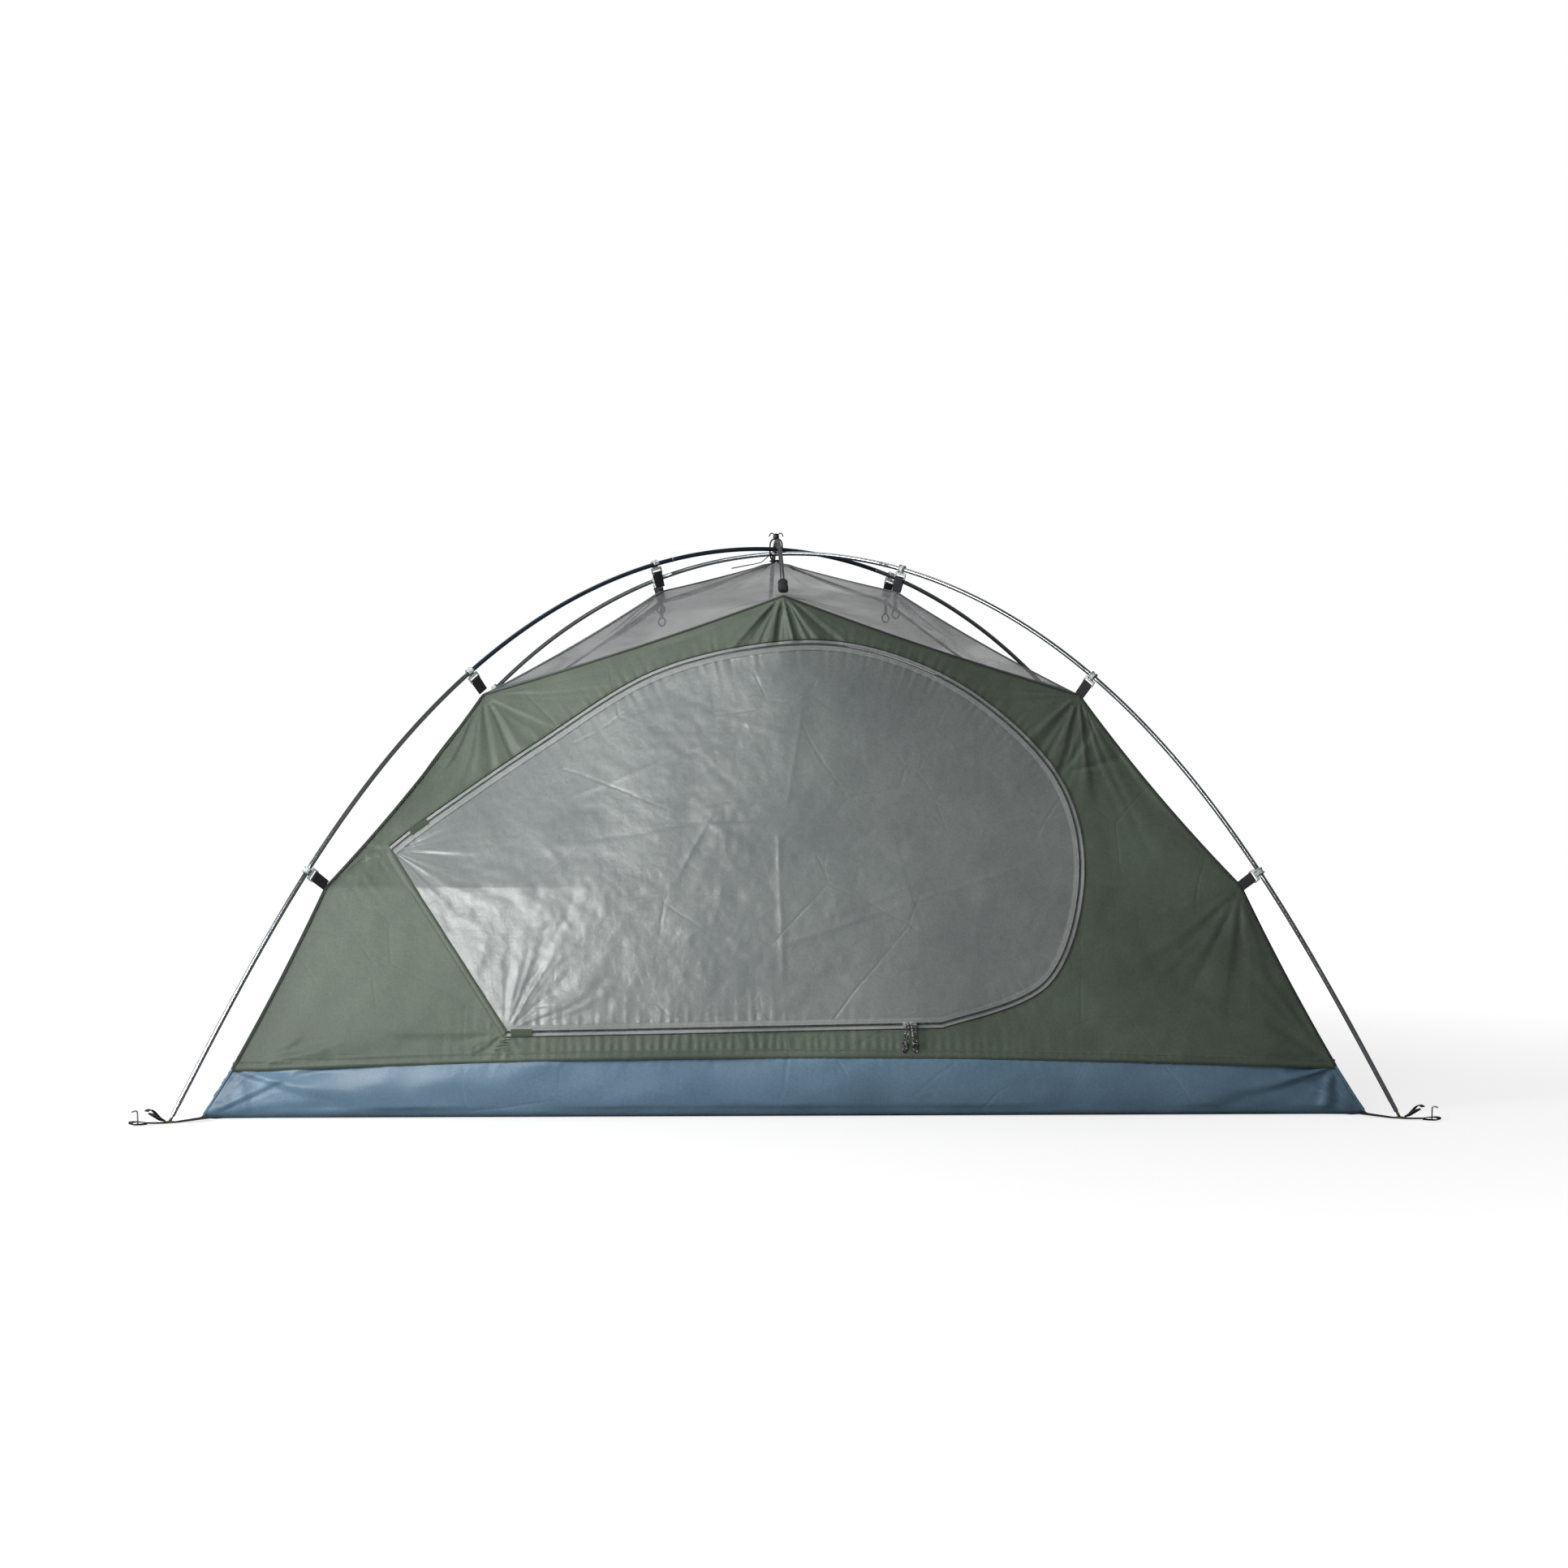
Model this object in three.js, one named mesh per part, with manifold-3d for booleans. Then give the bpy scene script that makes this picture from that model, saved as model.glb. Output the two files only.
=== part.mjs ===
// Two-person inner tent on crossing poles, in millimetres, +Z up.
// The origin is on the ground under the tent's centre, +X runs along the sleeping length
// and -Y is the side with the front door. The rear is the front turned half round +Z.
import * as THREE from 'three';
import { mergeVertices } from 'three/addons/utils/BufferGeometryUtils.js';
import Module from 'manifold-3d';

const wasm = await Module();
wasm.setup();

// ---- driving dimensions -------------------------------------------------------------

const TUB = {
  length: 2100,
  width: 1350,
  cornerHeight: 88,
  middleRise: 24, // how much higher the wall stands halfway along a side
  endLean: 50,
  sideLean: 20,
  foldHeight: 14, // where the floor turns up into the wall
  foldInset: 12,
  wall: 2,
  steps: { long: 10, short: 6 },
};

const POLE = {
  length: 3580,
  segments: 7,
  stepsPerSegment: 4,
  outerRadius: 4.25,
  boreRadius: 3.75,
  spigotRadius: 3.1,
  spigotBore: 2.0,
  spigotLength: 60, // how far a spigot stands out, and as far again into its own tube
  cordRadius: 1.0,
  tipLength: 34,
  tipNeck: 12,
  tipNeckRadius: 2.6,
  tipPointRadius: 1.6,
  tipPoint: 0.4, // length of the tip's pointed end
  tipRound: 2,
  tipShoulder: 1,
  tipStep: 0.3, // by which a tip is slimmer than its tube
  cordInset: 6, // from a tip to the end of the elastic cord
  sides: 8,
  cordSides: 5,
  crossingGap: 0.5,
};

const FOOT = {
  outLong: 50, // the grommets, out from the tub's floor
  outShort: 60,
  lift: 2, // height of a pole's very tip
};

const RIDGE = {
  half: 437, // plan distance from the centre to the pole's end
  overCrossing: 7.5, // clear height between the crossing and the ridge pole
  drop: 124,
  segments: 2,
  stepsPerSegment: 6,
};

const CLIP = {
  stations: { lower: 1275, middle: 772, upper: 297 }, // along the pole, from the apex
  onPole: 3580, // the pole's length that the stations are given for
  drop: 47, // from the pole's centre to the seam
  hookWall: 2.6,
  hookWidth: 12,
  hookGap: 0.4,
  hookOpening: 1.5, // radians left open in the hook
  hookSteps: 8,
  plateWidth: 24,
  plateHeight: 13,
  plateThickness: 3.2,
  tabWidth: 20,
  tabThickness: 2.4,
  plateLap: 0.8, // how far the plate runs into the hook
  tabLap: 5,
  seamGap: 4.5,
};

const CANOPY = {
  thickness: 2,
  apexBelowPole: 17,
  seamInset: 3, // from a seam's line to the edge of the panel beside it
  peakOut: 9, // the brow's peak, out from the ridge pole's end
  peakBelowRidge: 13.0352,
  bowTop: 1.6, // how late the front wall bends towards the hips, above the lower clips
  bowBottom: 3,
  meshDip: 26, // how far the end window's sill dips between the hips
  meshSill: 12,
  wallSteps: { across: 22, up: 10 },
  wallSpare: { side: 20, end: 10 }, // cut off at the wall's outline
  footSteps: 16,
  endSteps: { across: 8, up: 4 },
  roofSteps: { across: 8, up: 6 },
  roofEnd: 0.06, // short of the apex, as a share of the run above the upper clips
  roofLap: 0.6, // by which the roof's panels run into each other at the hips
  browGap: 0.012, // along the hip, as a share of the run over the middle clips
  seamGap: 1.3, // between panels that meet edge to edge
};

// The front door: its hinge seam, its straight sill and the round edge between them (x, z),
// drawn on a wall of this half width at the middle clips, from its foot to its peak.
const DOOR = {
  drawnHalfWidth: 567.4563,
  drawnFoot: 112,
  drawnPeak: 955,
  hingeTop: [-727, 480],
  hingeBottom: [-507, 154],
  sillEnd: [281, 168],
  round: [
    [474, 243], [544, 433], [511, 611], [365, 762], [185, 846],
    [0, 862], [-239, 808], [-462, 671], [-660, 533],
  ],
  roundSteps: 28,
  gap: 0.5,
};

const ZIP = {
  tape: 11, // width of one side's tape
  sliderLength: 12,
  sliderWidth: 9,
  sliderHeight: 5,
  sliderGap: 1.7, // from the tape
  noseShare: 0.32, // half the nose's width, as a share of the slider's
  noseLength: 0.45,
  sliderFromSillEnd: 59, // between the two sliders, at rest
  noseGap: 0.8,
  eyeHeight: 7,
  bridgeFrom: 2,
  bridgeTo: 9,
  bridgeWidth: 2.2,
  bridgeBar: 1.8,
  bridgeRise: 5,
  bridgeFoot: 0.8,
  bridgeLap: 0.4,
  pullOut: 1.2, // the pull's centre, out from the eye
};

const PULL = {
  diameter: 2.5,
  hang: 50,
  spread: 5.6, // between the two strands' centres
  outAtEye: 3,
  outAtTub: 7.5,
  lean: 4, // sideways, so that the two pulls part
  endUp: 3,
  bendDown: 6,
  steps: 16,
  sides: 8,
};

const STRAP = {
  thickness: 2.4,
  innerHalfWidth: 19,
  halfWidth: 10,
  taperEnd: -16, // measured outwards from the grommet's centre
  reach: 75,
  grommetWall: 3.6, // of the ring round the hole
  grommetGap: 0.6043, // round the slanting tip of the pole
  grommetHeight: 3.4,
  slotFrom: 46,
  slotTo: 67,
  slotHalfWidth: 5,
  chamfer: 3,
  tubGap: 1,
  holeSides: 12,
  ringSides: 16,
};

const BUCKLE = {
  width: 27,
  length: 25,
  thickness: 3.4,
  bar: 4,
  tilt: 32, // degrees above the ground at rest
  from: 15, // outwards from the grommet's centre
  height: 6.4,
};

const POCKET = {
  width: 20,
  length: 36,
  wall: 1.2, // over and under the socket
  socketGap: 1.05, // round the pole
  floor: 5,
  endGap: 0.5,
  sides: 16,
};

const TIE = {
  cordRadius: 1.5,
  halfWidth: 13,
  patch: 26,
  patchThickness: 1.6,
  toggleRadius: 6,
  toggleHeight: 13,
  toggleTaper: 1,
  toggleSides: 12,
  patchGap: 0.4,
  clearance: 0.6,
  bend: 5,
};

// ---- colours and finishes -----------------------------------------------------------

const finishes = {
  greenFabric: { color: 0x5c6a5b, roughness: 0.62, metalness: 0 },
  greyFabric: { color: 0x9aa09e, roughness: 0.5, metalness: 0 },
  blueFabric: { color: 0x55708a, roughness: 0.5, metalness: 0 },
  meshFabric: { color: 0x6f7677, roughness: 0.7, metalness: 0 },
  silverPole: { color: 0xb9bcc0, roughness: 0.3, metalness: 1 },
  darkPole: { color: 0x37424e, roughness: 0.35, metalness: 1 },
  elastic: { color: 0x1b1b1d, roughness: 0.8, metalness: 0 },
  webbing: { color: 0x232427, roughness: 0.85, metalness: 0 },
  clearPlastic: { color: 0xd5d9d6, roughness: 0.35, metalness: 0 },
  blackPlastic: { color: 0x17181a, roughness: 0.45, metalness: 0 },
  zipTape: { color: 0x7f8685, roughness: 0.8, metalness: 0 },
  sliderMetal: { color: 0xdadcdc, roughness: 0.3, metalness: 0.7 },
  pullCord: { color: 0x4c4e50, roughness: 0.8, metalness: 0 },
};

const group = new THREE.Group();

function place(name, geometry, finish) {
  const mesh = new THREE.Mesh(geometry, new THREE.MeshStandardMaterial(finishes[finish]));
  mesh.name = name;
  group.add(mesh);
}

// ---- closed meshes and booleans -----------------------------------------------------

function signedVolume(geometry) {
  const at = geometry.attributes.position;
  const index = geometry.index;
  const corner = [new THREE.Vector3(), new THREE.Vector3(), new THREE.Vector3()];
  let volume = 0;
  for (let i = 0; i < index.count; i += 3) {
    corner.forEach((c, k) => c.fromBufferAttribute(at, index.getX(i + k)));
    volume += corner[0].dot(corner[1].clone().cross(corner[2])) / 6;
  }
  return volume;
}

// A geometry with shared vertices merged and its faces pointing out.
function closed(source, tolerance = 1e-3) {
  const bare = source.clone();
  bare.deleteAttribute('normal');
  bare.deleteAttribute('uv');
  const merged = mergeVertices(bare, tolerance);
  const flip = signedVolume(merged) < 0;
  const index = merged.index.array;
  const kept = [];
  for (let i = 0; i < index.length; i += 3) {
    const [a, b, c] = [index[i], index[i + 1], index[i + 2]];
    if (a !== b && b !== c && c !== a) kept.push(...(flip ? [a, c, b] : [a, b, c]));
  }
  merged.setIndex(kept);
  return merged;
}

function solid(geometry) {
  const g = closed(geometry);
  return new wasm.Manifold(new wasm.Mesh({
    numProp: 3,
    vertProperties: new Float32Array(g.attributes.position.array),
    triVerts: new Uint32Array(g.index.array),
  }));
}

function geometryOf(manifold) {
  const mesh = manifold.getMesh();
  const geometry = new THREE.BufferGeometry();
  geometry.setAttribute('position', new THREE.BufferAttribute(mesh.vertProperties, 3));
  geometry.setIndex(new THREE.BufferAttribute(mesh.triVerts, 1));
  return geometry;
}

const union = (...pieces) => pieces.map(solid).reduce((a, b) => a.add(b));

function box(sizeX, sizeY, sizeZ, x = 0, y = 0, z = 0) {
  return new THREE.BoxGeometry(sizeX, sizeY, sizeZ).translate(x, y, z);
}

// Extrudes an outline, given as [a, b] pairs, through a height along +Z.
function plate(outline, height, holes = []) {
  const turned = (pairs, clockwise) => {
    const points = pairs.map(([a, b]) => new THREE.Vector2(a, b));
    return THREE.ShapeUtils.isClockWise(points) === clockwise ? points : points.reverse();
  };
  const shape = new THREE.Shape(turned(outline, false));
  for (const hole of holes) shape.holes.push(new THREE.Path(turned(hole, true)));
  return new THREE.ExtrudeGeometry(shape, { depth: height, bevelEnabled: false });
}

function circle(radius, sides) {
  return Array.from({ length: sides }, (_, k) => {
    const angle = (2 * Math.PI * k) / sides;
    return [radius * Math.cos(angle), radius * Math.sin(angle)];
  });
}

// The piece itself, or the one opposite, half round the upright axis.
const turnedRound = (geometry, turned) => (turned ? geometry.clone().rotateZ(Math.PI) : geometry);

// A sheet of even thickness over surface(u, v), with u and v from 0 to 1. Its thickness is
// square to the surface, or along one direction where one is given. Both faces are split
// along the same diagonals, so that they never cross.
function sheet(surface, across, along, direction = null) {
  const corners = [];
  const small = 1e-3;
  for (const layer of [0.5, -0.5]) {
    for (let j = 0; j <= along; j += 1) {
      for (let i = 0; i <= across; i += 1) {
        const [u, v] = [i / across, j / along];
        const du = surface(u + small, v).sub(surface(u - small, v));
        const dv = surface(u, v + small).sub(surface(u, v - small));
        const off = direction ?? du.cross(dv).normalize();
        corners.push(...surface(u, v).addScaledVector(off, layer * CANOPY.thickness));
      }
    }
  }
  const row = across + 1;
  const other = row * (along + 1);
  const faces = [];
  const quad = (a, b, c, d) => faces.push(a, b, c, a, c, d);
  for (let j = 0; j < along; j += 1) {
    for (let i = 0; i < across; i += 1) {
      const a = j * row + i;
      const [b, c, d] = [a + 1, a + row + 1, a + row];
      quad(a, b, c, d);
      faces.push(a + other, c + other, b + other, a + other, d + other, c + other);
    }
  }
  const rim = (a, b) => quad(a, a + other, b + other, b);
  for (let i = 0; i < across; i += 1) {
    rim(i, i + 1);
    rim(along * row + i + 1, along * row + i);
  }
  for (let j = 0; j < along; j += 1) {
    rim((j + 1) * row, j * row);
    rim(j * row + across, (j + 1) * row + across);
  }
  const geometry = new THREE.BufferGeometry();
  geometry.setAttribute('position', new THREE.Float32BufferAttribute(corners, 3));
  geometry.setIndex(faces);
  return geometry;
}

// Turns a lathe profile of [radius, station] pairs, which closes on itself, round a bent line.
function bentLathe(profile, sides, frameAt) {
  const outline = [...profile, profile[0]];
  const points = outline.map(([radius, station]) => new THREE.Vector2(radius, station));
  const geometry = new THREE.LatheGeometry(points, sides);
  const at = geometry.attributes.position;
  for (let i = 0; i < at.count; i += 1) {
    const frame = frameAt(at.getY(i));
    const p = frame.point.clone();
    p.addScaledVector(frame.normal, at.getX(i));
    p.addScaledVector(frame.side, at.getZ(i));
    at.setXYZ(i, p.x, p.y, p.z);
  }
  return closed(geometry);
}

const lerp = THREE.MathUtils.lerp;
const clamp = THREE.MathUtils.clamp;

// ---- the poles' curve ---------------------------------------------------------------

// A springy rod pushed in at its ends bends in proportion to its height above them.
// This walks such a rod from its top: height is the rise, stiffness the bend per height.
function bentRod(half, height, stiffness, steps) {
  const ds = half / steps;
  const line = [{ r: 0, z: height, slope: 0 }];
  let { r, z, slope } = line[0];
  for (let i = 0; i < steps; i += 1) {
    const middleSlope = slope + (stiffness * z * ds) / 2;
    const middleZ = z - (Math.sin(middleSlope) * ds) / 2;
    slope += stiffness * middleZ * ds;
    r += Math.cos(middleSlope) * ds;
    z -= Math.sin(middleSlope) * ds;
    line.push({ r, z, slope });
  }
  return line;
}

function bisect(low, high, tooLow) {
  for (let k = 0; k < 48; k += 1) {
    const middle = (low + high) / 2;
    if (tooLow(middle)) low = middle;
    else high = middle;
  }
  return (low + high) / 2;
}

// The rod of this half length whose ends are this far from the centre.
function archOf(half, reach) {
  const steps = 240;
  const end = (line) => line[steps];
  const stiffnessFor = (height) =>
    bisect(1e-9, (Math.PI / half) ** 2, (k) => end(bentRod(half, height, k, steps)).z > 0);
  const reachOf = (height) => end(bentRod(half, height, stiffnessFor(height), steps)).r;
  const height = bisect(half * 0.1, half * 0.75, (h) => reachOf(h) > reach);
  const line = bentRod(half, height, stiffnessFor(height), steps);
  return (distance) => {
    const f = clamp((distance / half) * steps, 0, steps);
    const i = Math.min(Math.floor(f), steps - 1);
    const [a, b] = [line[i], line[i + 1]];
    const mix = (key) => lerp(a[key], b[key], f - i);
    return { r: mix('r'), z: mix('z'), slope: mix('slope') };
  };
}

const poleFoot = { x: TUB.length / 2 + FOOT.outLong, y: TUB.width / 2 + FOOT.outShort };
const footReach = Math.hypot(poleFoot.x, poleFoot.y);
const arch = archOf(POLE.length / 2, footReach);
const archTop = arch(0).z;
const footSlope = arch(POLE.length / 2).slope;
const crossingLift = 2 * POLE.outerRadius + POLE.crossingGap;

// The two long poles: a runs from front left to rear right, over b, from front right to rear left.
const longPoles = {
  a: { heading: new THREE.Vector2(poleFoot.x, poleFoot.y).normalize(), stretch: 1 + crossingLift / archTop },
  b: { heading: new THREE.Vector2(-poleFoot.x, poleFoot.y).normalize(), stretch: 1 },
};

// The frame of a long pole's centre line at a signed distance from its top.
function curveFrame(pole, distance) {
  const at = arch(Math.abs(distance));
  const sign = Math.sign(distance) || 1;
  const slope = at.slope * sign;
  const { x, y } = pole.heading;
  const point = new THREE.Vector3(x * at.r * sign, y * at.r * sign, at.z * pole.stretch + FOOT.lift);
  const tangent = new THREE.Vector3(x * Math.cos(slope), y * Math.cos(slope), -Math.sin(slope));
  const normal = new THREE.Vector3(x * Math.sin(slope), y * Math.sin(slope), Math.cos(slope));
  return { point, tangent, normal, side: normal.clone().cross(tangent) };
}

// The same line as straight steps, so that what runs inside a tube follows it exactly.
function steppedFrame(curve, total, steps) {
  const stations = Array.from({ length: steps + 1 }, (_, k) => curve(-total / 2 + (total * k) / steps));
  return (distance) => {
    const f = clamp(((distance + total / 2) / total) * steps, 0, steps);
    const i = Math.min(Math.floor(f + 1e-9), steps - 1);
    const mix = (key) => stations[i][key].clone().lerp(stations[i + 1][key], f - i);
    const [point, normal, tangent] = [mix('point'), mix('normal').normalize(), mix('tangent').normalize()];
    return { point, normal, tangent, side: normal.clone().cross(tangent) };
  };
}

// Stations strictly between two distances, where the stepped line bends.
function bendsBetween(from, to, total, steps) {
  const all = Array.from({ length: steps + 1 }, (_, k) => -total / 2 + (total * k) / steps);
  const inside = all.filter((s) => s > Math.min(from, to) + 1 && s < Math.max(from, to) - 1);
  return from < to ? inside : inside.reverse();
}

// ---- pole tubes ---------------------------------------------------------------------

// One segment: a tube with a spigot glued into its far end, or a tip where the pole ends.
function poleSegment(from, to, total, steps, tips, frameAt) {
  const run = (radius, a, b) => [a, ...bendsBetween(a, b, total, steps), b].map((s) => [radius, s]);
  const { outerRadius, boreRadius, spigotRadius, spigotBore, spigotLength, tipLength } = POLE;
  const { tipNeck, tipNeckRadius, tipPointRadius, tipPoint, tipRound, tipShoulder, tipStep } = POLE;
  const tubeFrom = tips.start ? from + tipLength : from;
  const tubeTo = tips.end ? to - tipLength : to;
  const profile = [];
  if (tips.start) {
    profile.push([0, from], [tipPointRadius, from + tipPoint], [tipNeckRadius, from + tipRound]);
    profile.push([tipNeckRadius, from + tipNeck], [outerRadius - tipStep, from + tipNeck + tipShoulder]);
  }
  profile.push(...run(outerRadius, tubeFrom, tubeTo));
  if (tips.end) {
    profile.push([outerRadius - tipStep, to - tipNeck - tipShoulder], [tipNeckRadius, to - tipNeck]);
    profile.push([tipNeckRadius, to - tipRound], [tipPointRadius, to - tipPoint], [0, to]);
    profile.push([0, tubeTo], [boreRadius, tubeTo]);
  } else {
    profile.push([spigotRadius, to], [spigotRadius, to + spigotLength], [spigotBore, to + spigotLength]);
    profile.push([spigotBore, to], [spigotBore, to - spigotLength], [boreRadius, to - spigotLength]);
  }
  const boreFrom = tips.end ? tubeTo : to - spigotLength;
  profile.push(...run(boreRadius, boreFrom, tubeFrom).slice(1));
  if (tips.start) profile.push([0, tubeFrom]);
  return bentLathe(profile, POLE.sides, frameAt);
}

function tubedPole(prefix, total, segments, steps, frameAt, darkSegments) {
  const length = total / segments;
  for (let k = 0; k < segments; k += 1) {
    const from = -total / 2 + k * length;
    const tips = { start: k === 0, end: k === segments - 1 };
    const geometry = poleSegment(from, from + length, total, steps, tips, frameAt);
    const finish = darkSegments.includes(k + 1) ? 'darkPole' : 'silverPole';
    place(`${prefix}_segment_${k + 1}`, geometry, finish);
  }
  const inset = POLE.tipLength + POLE.cordInset;
  const [cordFrom, cordTo] = [-total / 2 + inset, total / 2 - inset];
  const stations = [cordFrom, ...bendsBetween(cordFrom, cordTo, total, steps), cordTo];
  const cord = [[0, cordFrom], ...stations.map((s) => [POLE.cordRadius, s]), [0, cordTo]];
  place(`${prefix}_shock_cord`, bentLathe(cord, POLE.cordSides, frameAt), 'elastic');
}

const longSteps = POLE.segments * POLE.stepsPerSegment;
for (const [letter, pole] of Object.entries(longPoles)) {
  pole.frameAt = steppedFrame((s) => curveFrame(pole, s), POLE.length, longSteps);
  const darkSegments = letter === 'a' ? [3, 4] : [];
  tubedPole(`pole_${letter}`, POLE.length, POLE.segments, longSteps, pole.frameAt, darkSegments);
}

// The ridge pole is a flat arc along Y on top of the crossing.
const crossingTop = longPoles.a.frameAt(0).point.z + POLE.outerRadius;
const ridgeTop = crossingTop + RIDGE.overCrossing + POLE.outerRadius;
const ridgeRadius = (RIDGE.half ** 2 + RIDGE.drop ** 2) / (2 * RIDGE.drop);
const ridgeLength = 2 * ridgeRadius * Math.asin(RIDGE.half / ridgeRadius);

function ridgeCurve(distance) {
  const angle = distance / ridgeRadius;
  const z = ridgeTop - ridgeRadius * (1 - Math.cos(angle));
  const point = new THREE.Vector3(0, ridgeRadius * Math.sin(angle), z);
  const tangent = new THREE.Vector3(0, Math.cos(angle), -Math.sin(angle));
  const normal = new THREE.Vector3(0, Math.sin(angle), Math.cos(angle));
  return { point, tangent, normal, side: normal.clone().cross(tangent) };
}

const ridgeSteps = RIDGE.segments * RIDGE.stepsPerSegment;
const ridgeFrame = steppedFrame(ridgeCurve, ridgeLength, ridgeSteps);
tubedPole('ridge_pole', ridgeLength, RIDGE.segments, ridgeSteps, ridgeFrame, []);

// ---- seams of the canopy ------------------------------------------------------------

// The clips' places on a long pole of any length.
const clipScale = POLE.length / CLIP.onPole;
const clipStations = Object.entries(CLIP.stations).map(([level, at]) => [level, at * clipScale]);

// The hip seam hangs on the clips. It is the same at all four corners, so it is kept
// as positive x and y, from the tub's corner over the three clips to the apex.
function seamUnderClip(station) {
  const frame = curveFrame(longPoles.b, station);
  const p = frame.point.addScaledVector(frame.normal, -CLIP.drop);
  return new THREE.Vector3(Math.abs(p.x), Math.abs(p.y), p.z);
}

const tubHalf = { x: TUB.length / 2, y: TUB.width / 2 };
const tubCorner = new THREE.Vector3(tubHalf.x - TUB.endLean, tubHalf.y - TUB.sideLean, TUB.cornerHeight);
const apex = new THREE.Vector3(0, 0, archTop + FOOT.lift - CANOPY.apexBelowPole);
const hipPoints = [
  tubCorner,
  ...clipStations.map(([, station]) => seamUnderClip(station)),
  apex,
];
const MIDDLE_CLIP = 2;
const UPPER_CLIP = 3;
const APEX = 4;
const middleSeam = hipPoints[MIDDLE_CLIP];
const peak = new THREE.Vector3(
  0,
  RIDGE.half + CANOPY.peakOut,
  ridgeTop - RIDGE.drop - CANOPY.peakBelowRidge,
);

// The door as it is drawn, fitted to this wall.
function onWall([x, z]) {
  const foot = TUB.cornerHeight + TUB.middleRise;
  const share = (z - DOOR.drawnFoot) / (DOOR.drawnPeak - DOOR.drawnFoot);
  return [(x * middleSeam.x) / DOOR.drawnHalfWidth, lerp(foot, peak.z, share)];
}

const door = {
  hingeTop: onWall(DOOR.hingeTop),
  hingeBottom: onWall(DOOR.hingeBottom),
  sillEnd: onWall(DOOR.sillEnd),
  round: DOOR.round.map(onWall),
};

// t runs 0 at the tub's corner, 1, 2 and 3 at the clips, and 4 at the apex.
function hipAt(t) {
  const i = clamp(Math.floor(t), 0, APEX - 1);
  return hipPoints[i].clone().lerp(hipPoints[i + 1], t - i);
}

function hipAtHeight(z) {
  const i = hipPoints.findIndex((p, k) => k === APEX - 1 || z < hipPoints[k + 1].z);
  const [a, b] = [hipPoints[i], hipPoints[i + 1]];
  return a.clone().lerp(b, (z - a.z) / (b.z - a.z));
}

// Height of the tub's wall, across a side whose corner is at the distance half.
function tubTop(across, half) {
  return TUB.cornerHeight + TUB.middleRise * (1 - Math.min(1, (across / half) ** 2));
}

// The outer edge of the front wall: the hip up to the middle clips, then the brow.
function frontEdge(z) {
  if (z <= middleSeam.z) return hipAtHeight(z);
  return middleSeam.clone().lerp(peak, (z - middleSeam.z) / (peak.z - middleSeam.z));
}

// Distance of the front wall from the XZ plane.
function wallDepth(x, z) {
  const foot = TUB.cornerHeight + TUB.middleRise;
  const centre = lerp(TUB.width / 2, peak.y, (z - foot) / (peak.z - foot));
  const edge = frontEdge(z);
  const rise = clamp((z - foot) / (hipPoints[1].z - foot), 0, 1);
  const bow = lerp(CANOPY.bowBottom, CANOPY.bowTop, rise);
  const share = Math.min(Math.abs(x) / Math.max(edge.x, 1), 1.25);
  return centre + (edge.y - centre) * share ** bow;
}

// ---- bathtub floor ------------------------------------------------------------------

// Points round the tub, the same number for every ring: corner to corner, side by side.
function tubRing(perLong, perShort, pointAt) {
  const ring = [];
  const side = (count, from, to) => {
    for (let k = 0; k < count; k += 1) {
      const share = k / count;
      ring.push(pointAt(lerp(from[0], to[0], share), lerp(from[1], to[1], share)));
    }
  };
  side(perLong, [-1, -1], [1, -1]);
  side(perShort, [1, -1], [1, 1]);
  side(perLong, [1, 1], [-1, 1]);
  side(perShort, [-1, 1], [-1, -1]);
  return ring;
}

function bathtubFloor() {
  const flatRing = (inset, z) => (a, b) => [a * (tubHalf.x - inset), b * (tubHalf.y - inset), z];
  const rimRing = (inset, lower) => (a, b) => {
    const onSide = Math.abs(b) === 1 && Math.abs(a) < 1;
    const height = onSide ? tubTop(a, 1) : tubTop(b, 1);
    const z = Math.abs(a) === 1 && Math.abs(b) === 1 ? TUB.cornerHeight : height;
    const depth = lerp(wallDepth(a * tubCorner.x, z), tubCorner.y, Math.abs(a) === 1 ? 1 : 0);
    return [a * (hipAtHeight(z).x - inset), b * (depth - inset), z - lower];
  };
  const w = TUB.wall;
  const makers = [
    flatRing(TUB.foldInset, 0),
    flatRing(0, TUB.foldHeight),
    rimRing(0, 0),
    rimRing(w, 0),
    flatRing(w, TUB.foldHeight),
    flatRing(TUB.foldInset + w, w),
  ];
  const rings = makers.map((maker) => tubRing(TUB.steps.long, TUB.steps.short, maker));
  const count = rings[0].length;
  const corners = [...rings.flat(), [0, 0, w], [0, 0, 0]];
  const top = corners.length - 2;
  const bottom = corners.length - 1;
  const faces = [];
  for (let k = 0; k < count; k += 1) {
    const next = (k + 1) % count;
    for (let ring = 0; ring < rings.length - 1; ring += 1) {
      const [low, high] = [ring * count, (ring + 1) * count];
      faces.push(low + k, low + next, high + next, low + k, high + next, high + k);
    }
    const inner = (rings.length - 1) * count;
    faces.push(inner + k, inner + next, top);
    faces.push(bottom, next, k);
  }
  const geometry = new THREE.BufferGeometry();
  geometry.setAttribute('position', new THREE.Float32BufferAttribute(corners.flat(), 3));
  geometry.setIndex(faces);
  return closed(geometry);
}

place('bathtub_floor', bathtubFloor(), 'blueFabric');

// ---- front and rear walls, doors and zips -------------------------------------------

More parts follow.
